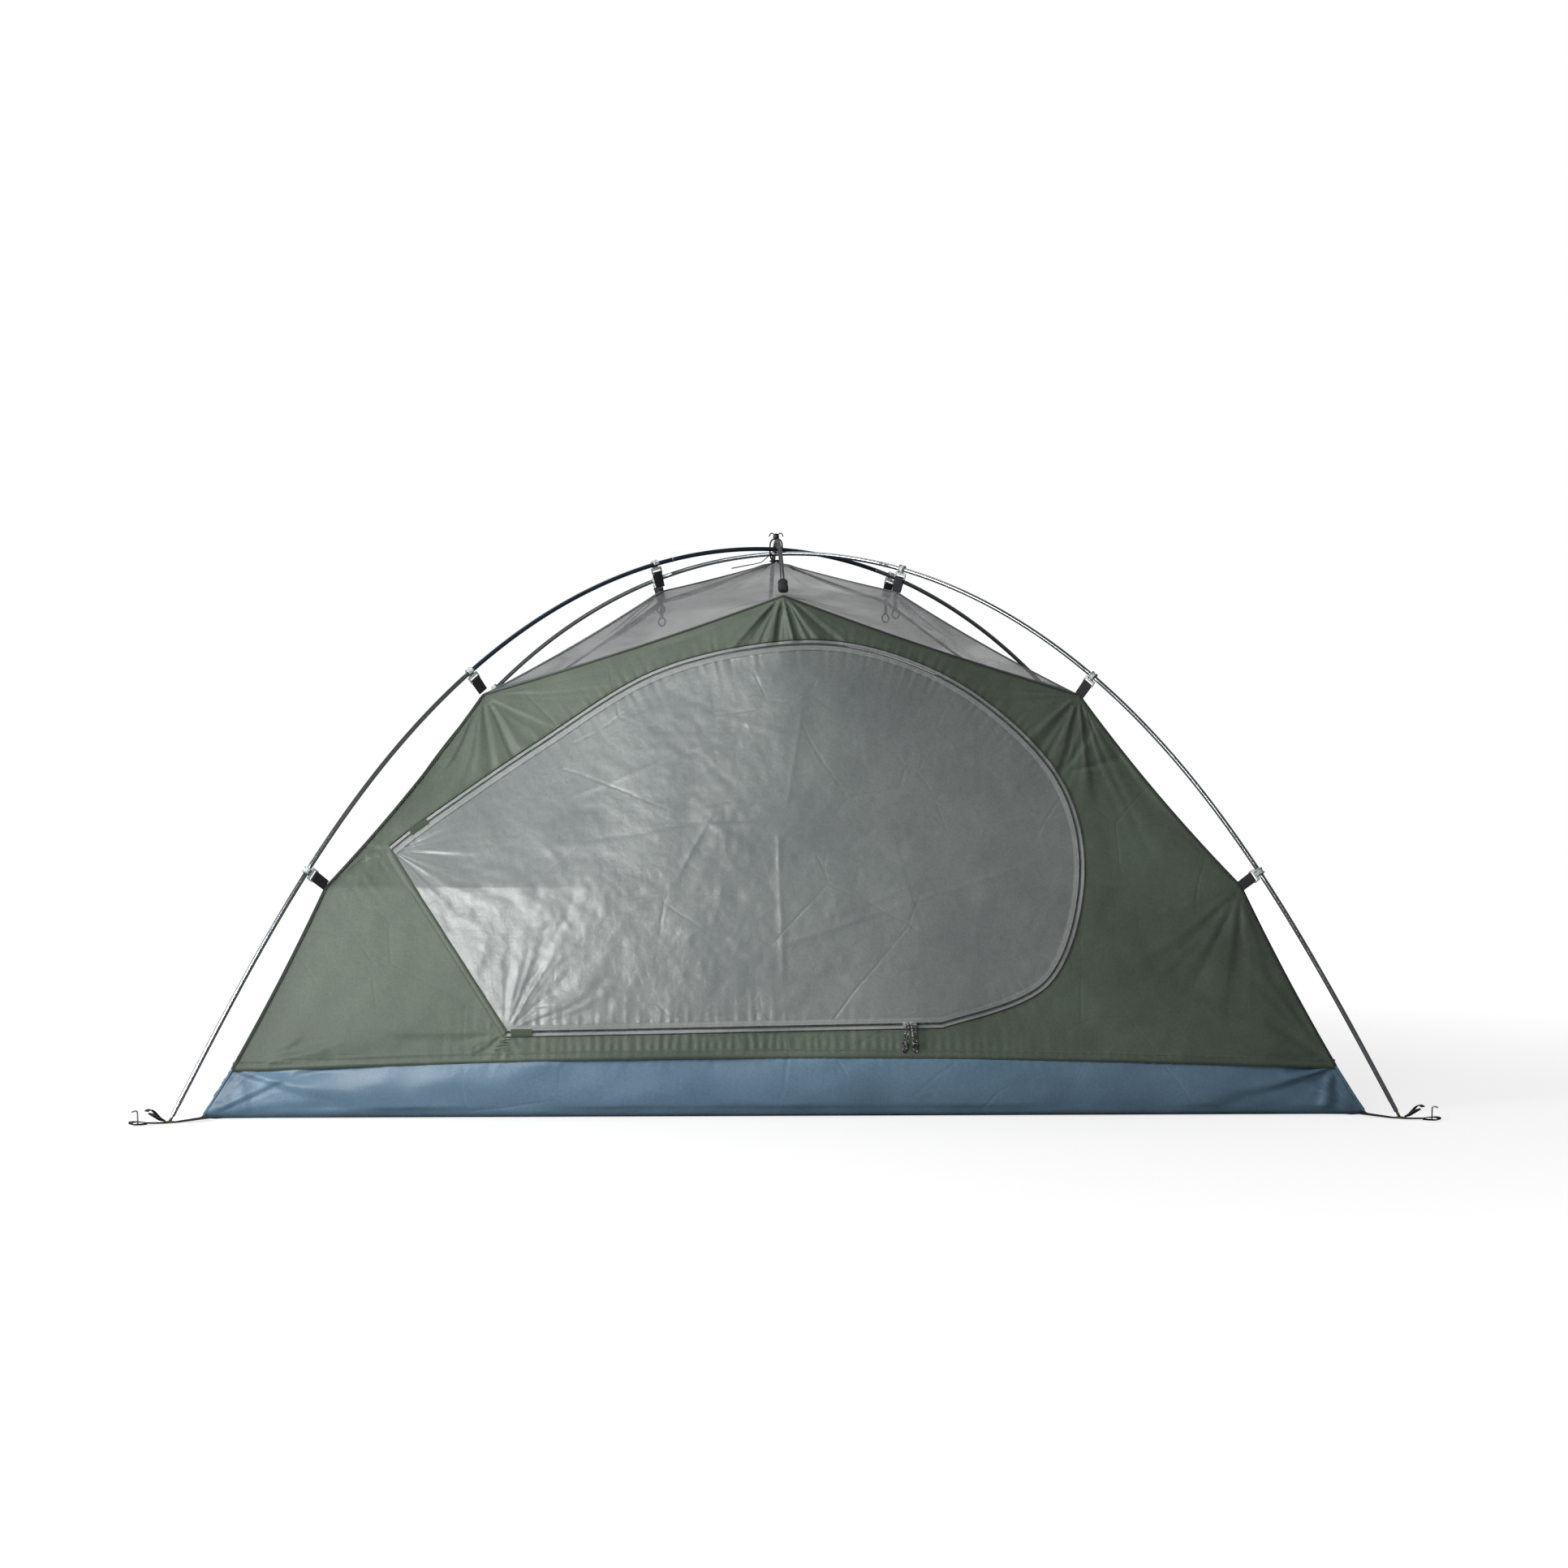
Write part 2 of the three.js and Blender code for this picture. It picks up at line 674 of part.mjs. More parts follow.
// The door's edge from the hinge's foot along the sill and round to the hinge's head,
// moved outwards by offset.
function doorEdge(offset) {
  const toVector = ([x, z]) => new THREE.Vector2(x, z);
  const round = new THREE.SplineCurve([door.sillEnd, ...door.round, door.hingeTop].map(toVector));
  const line = [toVector(door.hingeBottom), ...round.getPoints(DOOR.roundSteps)];
  return line.map((p, k) => {
    const before = line[Math.max(k - 1, 0)];
    const after = line[Math.min(k + 1, line.length - 1)];
    const along = after.clone().sub(before).normalize();
    return [p.x + along.y * offset, p.y - along.x * offset];
  });
}

const hingeRun = new THREE.Vector2(
  door.hingeTop[0] - door.hingeBottom[0],
  door.hingeTop[1] - door.hingeBottom[1],
).normalize();

// An upright prism over an outline in the XZ plane, through the front wall.
function frontPrism(outline) {
  const depth = TUB.width;
  const geometry = plate(outline, depth);
  geometry.rotateX(Math.PI / 2);
  return solid(geometry);
}

function frontSheet() {
  const { wallSpare } = CANOPY;
  const halfWidth = tubCorner.x + wallSpare.side;
  const low = TUB.cornerHeight - wallSpare.end;
  const high = peak.z + wallSpare.end;
  const surface = (u, v) => {
    const x = lerp(-halfWidth, halfWidth, u);
    const z = lerp(low, high, v);
    return new THREE.Vector3(x, -wallDepth(x, z), z);
  };
  const { across, up } = CANOPY.wallSteps;
  return solid(sheet(surface, across, up, new THREE.Vector3(0, -1, 0)));
}

// The wall's outline, kept clear of the hips, the brow and the tub.
function wallOutline() {
  const inset = CANOPY.seamInset;
  const foot = [];
  const steps = CANOPY.footSteps;
  const footHalf = tubCorner.x - 2 * inset;
  for (let k = 0; k <= steps; k += 1) {
    const x = lerp(-footHalf, footHalf, k / steps);
    foot.push([x, tubTop(x, tubCorner.x) + CANOPY.seamGap]);
  }
  const [, lower, middle] = hipPoints;
  const right = [[lower.x - 1.5 * inset, lower.z], [middle.x - 1.5 * inset, middle.z - inset]];
  const left = right.map(([x, z]) => [-x, z]).reverse();
  return [...foot, ...right, [0, peak.z - inset], ...left];
}

// Cuts the wall, the zip's tape and the door out of the same sheet.
function frontPanels() {
  const cloth = frontSheet();
  const outward = new THREE.Vector2(-hingeRun.y, hingeRun.x);
  const hingeLine = (gap) => [
    [door.hingeTop[0] + outward.x * gap, door.hingeTop[1] + outward.y * gap],
    [door.hingeBottom[0] + outward.x * gap, door.hingeBottom[1] + outward.y * gap],
  ];
  const opening = [...doorEdge(ZIP.tape + DOOR.gap), ...hingeLine(DOOR.gap)];
  const [head, foot] = hingeLine(-DOOR.gap);
  const reach = hingeRun.clone().multiplyScalar(TUB.width);
  const beyondHinge = frontPrism([
    [foot[0] - reach.x, foot[1] - reach.y],
    [foot[0] - reach.x + TUB.length, foot[1] - reach.y],
    [head[0] + reach.x + TUB.length, head[1] + reach.y],
    [head[0] + reach.x, head[1] + reach.y],
  ]);
  const within = (offset) => frontPrism(doorEdge(offset));
  const swinging = cloth.intersect(beyondHinge);
  return {
    wall: cloth.intersect(frontPrism(wallOutline())).subtract(frontPrism(opening)),
    zip_tape: swinging.intersect(within(ZIP.tape)).subtract(within(DOOR.gap / 2)),
    door: swinging.intersect(within(-DOOR.gap / 2)),
  };
}

const sides = { front: false, rear: true };
const panelFinish = { wall: 'greenFabric', zip_tape: 'zipTape', door: 'greyFabric' };
const panels = frontPanels();
for (const [side, turned] of Object.entries(sides)) {
  for (const [part, piece] of Object.entries(panels)) {
    place(`${side}_${part}`, turnedRound(geometryOf(piece), turned), panelFinish[part]);
  }
}

// A zip slider rides in front of the straight sill: a body with a bridge for its pull.
function zipSlider(direction) {
  const { sliderLength, sliderWidth, sliderHeight, eyeHeight } = ZIP;
  const { bridgeFrom, bridgeTo, bridgeWidth, bridgeBar, bridgeRise, bridgeFoot, bridgeLap } = ZIP;
  const [endX, endZ] = door.sillEnd;
  const [footX, footZ] = door.hingeBottom;
  const slope = Math.atan2(endZ - footZ, endX - footX);
  const nose = sliderWidth * ZIP.noseShare;
  const shoulder = sliderLength * ZIP.noseLength;
  const outline = [
    [0, -nose], [shoulder, -sliderWidth / 2], [sliderLength, -sliderWidth / 2],
    [sliderLength, sliderWidth / 2], [shoulder, sliderWidth / 2], [0, nose],
  ];
  const body = plate(outline, sliderHeight);
  const eyeFrom = bridgeFrom + bridgeBar;
  const eyeTo = bridgeTo - bridgeBar;
  const eyeTop = bridgeRise - bridgeBar;
  const bridge = plate(
    [[bridgeFrom, 0], [bridgeFrom, bridgeRise], [bridgeTo, bridgeRise], [bridgeTo, 0]],
    bridgeWidth,
    [[[eyeFrom, bridgeFoot], [eyeFrom, eyeTop], [eyeTo, eyeTop], [eyeTo, bridgeFoot]]],
  );
  bridge.rotateX(Math.PI / 2).translate(0, bridgeWidth / 2, sliderHeight - bridgeLap);
  const piece = geometryOf(union(body, bridge));
  if (direction < 0) piece.rotateZ(Math.PI);
  piece.rotateX(Math.PI / 2);
  const x = endX - ZIP.sliderFromSillEnd + (direction * ZIP.noseGap) / 2;
  const z = lerp(footZ, endZ, (x - footX) / (endX - footX));
  const y = -wallDepth(0, z) - CANOPY.thickness / 2 - ZIP.sliderGap;
  piece.rotateY(-slope);
  const eyeX = x + (direction * (bridgeFrom + bridgeTo)) / 2;
  return { piece: piece.translate(x, y, z), eye: new THREE.Vector3(eyeX, y - eyeHeight - ZIP.pullOut, z) };
}

// A pull of doubled cord: down from the slider's eye, round and up again, resting on the tub.
function pullCord(eye, direction) {
  const { diameter, hang, spread, steps, outAtEye, outAtTub, endUp, bendDown } = PULL;
  const strand = (x, z, out) => new THREE.Vector3(eye.x + x, eye.y - out, eye.z + z);
  const lean = direction * PULL.lean;
  const outAtBend = lerp(outAtEye, outAtTub, 0.1);
  const down = (side) => [
    strand((side * spread) / 2, endUp, outAtEye),
    strand((side * spread) / 2, -bendDown, outAtBend),
    strand((side * spread) / 2 + lean * 0.4, -hang / 2, outAtTub),
    strand((side * spread) / 2 + lean, -hang + spread / 2, outAtTub),
  ];
  const route = [...down(-1), strand(lean, -hang, outAtTub), ...down(1).reverse()];
  const section = circle(diameter / 2, PULL.sides).map(([a, b]) => new THREE.Vector2(a, b));
  const path = new THREE.CatmullRomCurve3(route, false, 'centripetal');
  const options = { steps, extrudePath: path, bevelEnabled: false };
  return closed(new THREE.ExtrudeGeometry(new THREE.Shape(section), options));
}

for (const [side, turned] of Object.entries(sides)) {
  for (const [word, direction] of [['left', -1], ['right', 1]]) {
    const { piece, eye } = zipSlider(direction);
    place(`${side}_zip_slider_${word}`, turnedRound(piece, turned), 'sliderMetal');
    place(`${side}_zip_pull_${word}`, turnedRound(pullCord(eye, direction), turned), 'pullCord');
  }
}

// ---- end panels and the mesh roof ---------------------------------------------------

// The end wall is ruled straight across between the two hips.
function endSurface(t, across, inset) {
  const hip = hipAt(t);
  return new THREE.Vector3(hip.x, across * (hip.y - inset), hip.z);
}

// How far along the hip the window's sill is; it dips in the middle.
function sillStation(across) {
  const drop = CANOPY.meshSill + CANOPY.meshDip * (1 - across ** 2);
  return MIDDLE_CLIP - drop / (middleSeam.z - hipPoints[1].z);
}

// Shares v from 0 to 1 over two runs of the hip, so that a clip's bend falls on a row of points.
const overClip = (v, from, clip, to) => (v < 0.5 ? lerp(from, clip, 2 * v) : lerp(clip, to, 2 * v - 1));

function endPanel() {
  const surface = (u, v) => {
    const across = clamp(2 * u - 1, -1.01, 1.01);
    const foot = (tubTop(across, 1) + CANOPY.seamGap - tubCorner.z) / (hipPoints[1].z - tubCorner.z);
    return endSurface(overClip(v, foot, 1, sillStation(across)), across, CANOPY.seamInset);
  };
  return closed(sheet(surface, CANOPY.endSteps.across, CANOPY.endSteps.up));
}

const roofEnd = APEX - CANOPY.roofEnd;

function meshEnd() {
  const gap = CANOPY.seamGap / (middleSeam.z - hipPoints[1].z);
  const surface = (u, v) => {
    const across = 2 * u - 1;
    const t = overClip(v, sillStation(across) + gap, UPPER_CLIP, roofEnd);
    return endSurface(t, across, -CANOPY.roofLap);
  };
  return sheet(surface, CANOPY.endSteps.across, CANOPY.endSteps.up);
}

// The roof over the door: ruled from the line under the ridge pole to the hips.
function meshFront() {
  const surface = (u, v) => {
    const across = 2 * u - 1;
    const t = overClip(v, MIDDLE_CLIP + CANOPY.browGap, UPPER_CLIP, roofEnd);
    const middle = peak.clone().lerp(apex, (t - MIDDLE_CLIP) / (APEX - MIDDLE_CLIP));
    const hip = hipAt(t);
    const share = Math.abs(across) * (1 + CANOPY.roofLap / hipPoints[UPPER_CLIP].x);
    const x = Math.sign(across) * hip.x * share;
    return new THREE.Vector3(x, -lerp(middle.y, hip.y, share), lerp(middle.z, hip.z, share));
  };
  return sheet(surface, CANOPY.roofSteps.across, CANOPY.roofSteps.up);
}

place('left_end_panel', turnedRound(endPanel(), true), 'greenFabric');
place('right_end_panel', endPanel(), 'greenFabric');
const roof = [meshEnd(), meshFront()].flatMap((panel) => [panel, turnedRound(panel, true)]);
place('roof_mesh', geometryOf(union(...roof)), 'meshFabric');

// ---- pole clips ---------------------------------------------------------------------

// In the clip's own axes the pole runs along Z and the fabric is towards -Y.
function poleClip() {
  const inner = POLE.outerRadius + CLIP.hookGap;
  const outer = inner + CLIP.hookWall;
  const steps = CLIP.hookSteps;
  const from = -Math.PI / 2;
  const to = from + 2 * Math.PI - CLIP.hookOpening;
  const angles = Array.from({ length: steps + 1 }, (_, k) => lerp(from, to, k / steps));
  const arc = (radius) => angles.map((a) => [radius * Math.cos(a), radius * Math.sin(a)]);
  const hook = plate([...arc(outer), ...arc(inner).reverse()], CLIP.hookWidth);
  hook.translate(0, 0, -CLIP.hookWidth / 2);
  const plateTop = -outer + CLIP.plateLap;
  const plateMiddle = plateTop - CLIP.plateHeight / 2;
  const frame = box(CLIP.plateThickness, CLIP.plateHeight, CLIP.plateWidth, 0, plateMiddle, 0);
  const tabTop = plateTop - CLIP.tabLap;
  const tabEnd = -CLIP.drop + CLIP.seamGap;
  const tab = box(CLIP.tabThickness, tabTop - tabEnd, CLIP.tabWidth, 0, (tabTop + tabEnd) / 2, 0);
  return geometryOf(union(hook, frame, tab));
}

const legs = {
  front_left: { pole: longPoles.a, sign: -1 },
  front_right: { pole: longPoles.b, sign: -1 },
  rear_left: { pole: longPoles.b, sign: 1 },
  rear_right: { pole: longPoles.a, sign: 1 },
};

for (const [leg, { pole, sign }] of Object.entries(legs)) {
  for (const [level, station] of clipStations) {
    const frame = pole.frameAt(sign * station);
    const axes = new THREE.Matrix4().makeBasis(frame.side, frame.normal, frame.tangent);
    const geometry = poleClip().applyMatrix4(axes).translate(frame.point.x, frame.point.y, frame.point.z);
    place(`clip_${level}_${leg}`, geometry, 'clearPlastic');
  }
}

// ---- corner straps and buckles ------------------------------------------------------

// In the strap's own axes +X points outwards and the grommet is at the origin.
function cornerStrap() {
  const inner = -(footReach - Math.hypot(tubHalf.x, tubHalf.y)) + STRAP.tubGap;
  const { innerHalfWidth, halfWidth, taperEnd, reach, chamfer, slotFrom, slotTo, slotHalfWidth } = STRAP;
  const edge = [
    [inner, innerHalfWidth], [taperEnd, halfWidth],
    [reach - chamfer, halfWidth], [reach, halfWidth - chamfer],
  ];
  const outline = [...edge.map(([x, y]) => [x, -y]), ...edge.reverse()];
  const slot = [
    [slotFrom, -slotHalfWidth], [slotTo, -slotHalfWidth],
    [slotTo, slotHalfWidth], [slotFrom, slotHalfWidth],
  ];
  const slant = (STRAP.grommetHeight - FOOT.lift) / Math.tan(footSlope);
  const holeRadius = POLE.tipNeckRadius / Math.sin(footSlope) + slant + STRAP.grommetGap;
  const hole = circle(holeRadius, STRAP.holeSides);
  const web = plate(outline, STRAP.thickness, [hole, slot]);
  const rim = circle(holeRadius + STRAP.grommetWall, STRAP.ringSides);
  const ring = plate(rim, STRAP.grommetHeight, [hole]);
  return geometryOf(union(web, ring));
}

// A ladder buckle: a frame with two slots, hinged on its inner bar.
function ladderBuckle() {
  const { width, length, thickness, bar } = BUCKLE;
  const slotLength = (length - 3 * bar) / 2;
  const slotCut = box(slotLength, width - 2 * bar, 2 * thickness, slotLength / 2);
  const slot = (from) => solid(slotCut.clone().translate(from, 0, 0));
  const frame = solid(box(length, width, thickness, length / 2, 0, 0));
  const geometry = geometryOf(frame.subtract(slot(bar)).subtract(slot(2 * bar + slotLength)));
  geometry.translate(-bar / 2, 0, 0);
  geometry.rotateY(-THREE.MathUtils.degToRad(BUCKLE.tilt));
  return geometry.translate(BUCKLE.from, 0, BUCKLE.height);
}

for (const [leg, { pole, sign }] of Object.entries(legs)) {
  const heading = pole.heading.clone().multiplyScalar(sign);
  const turn = Math.atan2(heading.y, heading.x);
  const grommet = heading.multiplyScalar(footReach);
  const at = (geometry) => geometry.rotateZ(turn).translate(grommet.x, grommet.y, 0);
  place(`corner_strap_${leg}`, at(cornerStrap()), 'webbing');
  place(`ladder_buckle_${leg}`, at(ladderBuckle()), 'blackPlastic');
}

// ---- ridge pockets and the tie at the crossing --------------------------------------

// A webbing pocket over each end of the ridge pole.
function ridgePocket(side) {
  const { width, length, floor, endGap } = POCKET;
  const socketRadius = POLE.outerRadius + POCKET.socketGap;
  const thickness = 2 * (socketRadius + POCKET.wall);
  const middle = ridgeFrame(side * (ridgeLength / 2 + floor - length / 2));
  const block = box(width, length, thickness);
  const bore = new THREE.CylinderGeometry(socketRadius, socketRadius, length, POCKET.sides);
  bore.translate(0, floor - endGap, 0);
  const pocket = geometryOf(solid(block).subtract(solid(bore)));
  const inwards = middle.tangent.clone().multiplyScalar(-side);
  const axes = new THREE.Matrix4().makeBasis(inwards.clone().cross(middle.normal), inwards, middle.normal);
  return pocket.applyMatrix4(axes).translate(middle.point.x, middle.point.y, middle.point.z);
}

place('ridge_pocket_front', ridgePocket(-1), 'webbing');
place('ridge_pocket_rear', ridgePocket(1), 'webbing');

// An elastic loop from the roof's patch round all three poles, held by a toggle on top.
function crossingTie() {
  const low = apex.z + CANOPY.thickness + TIE.cordRadius;
  const high = ridgeTop + POLE.outerRadius + TIE.clearance + TIE.cordRadius;
  const racetrack = (grow) => {
    const w = TIE.halfWidth + grow;
    const [bottom, top] = [low - grow, high + grow];
    const bend = TIE.bend + grow;
    return [
      [-w + bend, bottom], [w - bend, bottom], [w, bottom + bend], [w, top - bend],
      [w - bend, top], [-w + bend, top], [-w, top - bend], [-w, bottom + bend],
    ];
  };
  const loop = plate(racetrack(TIE.cordRadius), 2 * TIE.cordRadius, [racetrack(-TIE.cordRadius)]);
  loop.rotateX(Math.PI / 2).translate(0, TIE.cordRadius, 0);
  const patch = box(TIE.patch, TIE.patch, TIE.patchThickness);
  patch.translate(0, 0, low - TIE.patchThickness / 2 - TIE.patchGap);
  const { toggleRadius, toggleTaper, toggleHeight, toggleSides } = TIE;
  const narrow = toggleRadius - toggleTaper;
  const toggle = new THREE.CylinderGeometry(toggleRadius, narrow, toggleHeight, toggleSides);
  toggle.rotateX(Math.PI / 2).translate(0, 0, high + toggleHeight / 2 - TIE.cordRadius);
  return geometryOf(union(loop, patch, toggle));
}

place('crossing_tie', crossingTie(), 'elastic');

export default group;
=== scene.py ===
"""The finished look of a two-person inner tent on crossing poles.

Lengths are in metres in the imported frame: the ground is z = 0 and the front door faces -Y.
The rear wall, door and zip are the front ones turned half round the upright axis.
"""

import math

import bmesh
import bpy
import numpy as np
from mathutils import Matrix, Vector


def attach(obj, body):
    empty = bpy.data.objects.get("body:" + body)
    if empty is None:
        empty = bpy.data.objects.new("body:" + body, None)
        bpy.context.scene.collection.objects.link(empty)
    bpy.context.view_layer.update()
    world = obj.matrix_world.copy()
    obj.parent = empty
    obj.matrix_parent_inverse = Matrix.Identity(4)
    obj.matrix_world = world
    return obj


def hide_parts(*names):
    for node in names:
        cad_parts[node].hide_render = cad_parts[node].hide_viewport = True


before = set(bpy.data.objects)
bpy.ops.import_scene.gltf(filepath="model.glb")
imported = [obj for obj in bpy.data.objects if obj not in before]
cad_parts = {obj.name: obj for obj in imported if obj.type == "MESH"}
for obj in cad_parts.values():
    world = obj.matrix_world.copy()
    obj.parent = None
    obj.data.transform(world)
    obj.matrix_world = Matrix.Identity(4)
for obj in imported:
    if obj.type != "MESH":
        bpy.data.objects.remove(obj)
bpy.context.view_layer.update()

# ---- sizes --------------------------------------------------------------------------

POLE_HALF = 1.790
POLE_RADIUS = 0.00425
POLE_SEGMENTS = 7
CROSSING_LIFT = 0.009
FOOT = np.array([1.100, 0.735])
FOOT_REACH = float(np.hypot(*FOOT))
FOOT_LIFT = 0.002
CLIP_STATIONS = {"lower": 1.275, "middle": 0.772, "upper": 0.297}
CLIP_DROP = 0.047
RIDGE_HALF, RIDGE_DROP, RIDGE_TOP = 0.437, 0.124, 1.0922
TUB_HALF = np.array([1.050, 0.675])
TUB_CORNER = np.array([1.000, 0.655, 0.088])
TUB_RISE = 0.024
PEAK = np.array([0.0, 0.446, 0.955])
HIP_SAG = (0.004, 0.009, 0.006, 0.002)
HINGE_TOP = np.array([-0.727, 0.480])
HINGE_FOOT = np.array([-0.507, 0.154])
SILL_END = np.array([0.281, 0.168])
DOOR_ROUND = [
    [0.474, 0.243], [0.544, 0.433], [0.511, 0.611], [0.365, 0.762], [0.185, 0.846],
    [0.0, 0.862], [-0.239, 0.808], [-0.462, 0.671], [-0.660, 0.533],
]
TAPE_STEPS = (0.0016, 0.005, 0.009, 0.0115)
SEWN_LIFT = 0.0012
LEGS = {
    "front_left": ("a", -1), "front_right": ("b", -1),
    "rear_left": ("b", 1), "rear_right": ("a", 1),
}
SIDES = {"front": False, "rear": True}
INSIDE = np.array([0.0, 0.0, 0.35])
QUARTERS = ((1, 1), (1, -1), (-1, 1), (-1, -1))
ROOF_END = 3.985
CLOTH_TUCK = 0.004

# ---- nodes and colours --------------------------------------------------------------


def linear(code):
    """Linear colour of an sRGB hex code, with full alpha."""
    parts = [int(code[i:i + 2], 16) / 255 for i in (0, 2, 4)]
    return (*[c / 12.92 if c <= 0.04045 else ((c + 0.055) / 1.055) ** 2.4 for c in parts], 1.0)


def add(tree, kind, sockets=None, **settings):
    """Adds one node with its settings, its socket values and the links into it."""
    made = tree.nodes.new(kind)
    for key, value in settings.items():
        setattr(made, key, value)
    for socket, value in (sockets or {}).items():
        if isinstance(value, bpy.types.NodeSocket):
            tree.links.new(value, made.inputs[socket])
        else:
            made.inputs[socket].default_value = value
    return made


def blank(name, **constants):
    """A material with one Principled shader, and that shader's constant sockets set."""
    material = bpy.data.materials.new(name)
    material.use_nodes = True
    shader = material.node_tree.nodes["Principled BSDF"]
    for socket, value in constants.items():
        shader.inputs[socket.replace("_", " ")].default_value = value
    return material, material.node_tree, shader


def remap(tree, value, low, high, to_low=0.0, to_high=1.0):
    """Carries a value's run from low to high over to another run."""
    return add(tree, "ShaderNodeMapRange", {"Value": value, "From Min": low, "From Max": high,
        "To Min": to_low, "To Max": to_high}).outputs[0]


def mixed(tree, share, low, high, **settings):
    """A colour some share of the way from one to another."""
    return add(tree, "ShaderNodeMix", {0: share, 6: low, 7: high}, data_type="RGBA",
        **settings).outputs[2]


def reckoned(tree, operation, a, b, **settings):
    """The result of one sum or product."""
    return add(tree, "ShaderNodeMath", {0: a, 1: b}, operation=operation, **settings).outputs[0]


def noise(tree, where, scale, detail, **more):
    """Cloudy noise; the node itself, for its value or its colour."""
    return add(tree, "ShaderNodeTexNoise", {"Vector": where, "Scale": scale, "Detail": detail, **more})


def cells(tree, where, scale, feature="F1", **more):
    """Distance within scattered cells."""
    return add(tree, "ShaderNodeTexVoronoi", {"Vector": where, "Scale": scale, **more},
        feature=feature).outputs["Distance"]


def bumped(tree, height, distance, strength, sockets=None, **settings):
    """A surface normal tilted by a height."""
    return add(tree, "ShaderNodeBump", {"Height": height, "Distance": distance, "Strength": strength,
        **(sockets or {})}, **settings).outputs[0]


def feed(tree, shader, **values):
    """Links each value into the shader's socket of that name."""
    for socket, value in values.items():
        tree.links.new(value, shader.inputs[socket.replace("_", " ")])


def cloth(name, light, dark, axes, pitch, rough, crease, weave, **constants):
    """Woven cloth: crossing threads, cloudy dye, folded-in creases and fine crumple."""
    material, tree, shader = blank(name, **constants)
    where = add(tree, "ShaderNodeTexCoord").outputs["Object"]
    threads = reckoned(tree, "MULTIPLY", *[
        add(tree, "ShaderNodeTexWave", {"Vector": where, "Scale": 0.314 / pitch, "Distortion": 0.6,
            "Detail": 1.0, "Detail Scale": 2.0}, bands_direction=axis).outputs["Fac"]
        for axis in axes
    ])
    dye = noise(tree, where, 4.5, 6.0, Roughness=0.62)
    depth_of_dye = dye.outputs["Fac"]
    dyed = mixed(tree, remap(tree, depth_of_dye, 0.3, 0.7), linear(dark), linear(light))
    speck = remap(tree, noise(tree, where, 240.0, 2.0).outputs["Fac"], 0.25, 0.75, 0.88, 1.1)
    drift = add(tree, "ShaderNodeVectorMath", {0: dye.outputs["Color"], 1: (0.02, 0.02, 0.02)},
        operation="MULTIPLY").outputs[0]
    bent = add(tree, "ShaderNodeVectorMath", {0: where, 1: drift}, operation="ADD").outputs[0]
    ridge = remap(tree, cells(tree, bent, 5.5, "DISTANCE_TO_EDGE"), 0.0, 0.022)
    pressed = reckoned(tree, "MULTIPLY", ridge, remap(tree, depth_of_dye, 0.47, 0.58))
    crumple = noise(tree, bent, 42.0, 4.0, Roughness=0.6, Distortion=0.6).outputs["Fac"]
    folded = bumped(tree, reckoned(tree, "ADD", crumple, pressed), crease, 0.6)
    feed(tree, shader,
        Base_Color=mixed(tree, 1.0, dyed, speck, blend_type="MULTIPLY"),
        Roughness=remap(tree, depth_of_dye, 0.25, 0.75, rough - 0.05, rough + 0.07),
        Normal=bumped(tree, threads, weave, 0.5, {"Normal": folded}))
    return material


def moulded(name, light, dark, grain, rough, depth, **constants):
    """Metal or moulded plastic: a fine even grain, handled patches and slight change of tone."""
    material, tree, shader = blank(name, **constants)
    where = add(tree, "ShaderNodeTexCoord").outputs["Object"]
    patch = noise(tree, where, 18.0, 4.0).outputs["Fac"]
    fine = noise(tree, where, 1 / grain, 3.0).outputs["Fac"]
    feed(tree, shader,
        Base_Color=mixed(tree, patch, linear(dark), linear(light)),
        Roughness=remap(tree, fine, 0.0, 1.0, rough - 0.08, rough + 0.12),
        Normal=bumped(tree, fine, depth, 0.15))
    return material


def braided(name, light, dark, pitch, fleck_share, depth, **constants):
    """Webbing or cord: small cells of yarn, a share of them in a paler thread, with painted shade between the
    yarns and a painted highlight on each.
    """
    material, tree, shader = blank(name, **constants)
    where = add(tree, "ShaderNodeTexCoord").outputs["Object"]
    yarns = cells(tree, where, 1 / pitch, Randomness=0.35)
    pale = cells(tree, where, 0.4 / pitch, Randomness=0.9)
    mark = remap(tree, pale, fleck_share, fleck_share + 0.08, 1.0, 0.0)
    tone = mixed(tree, mark, linear(dark), linear(light))
    # Painted light: each yarn's colour is lighter at its middle and darker towards the gaps between yarns.
    painted_yarn_shade = remap(tree, yarns, 0.0, 0.8, 1.15, 0.7)
    feed(tree, shader,
        Base_Color=mixed(tree, 1.0, tone, painted_yarn_shade, blend_type="MULTIPLY"),
        Normal=bumped(tree, yarns, depth, 0.8, invert=True))
    return material


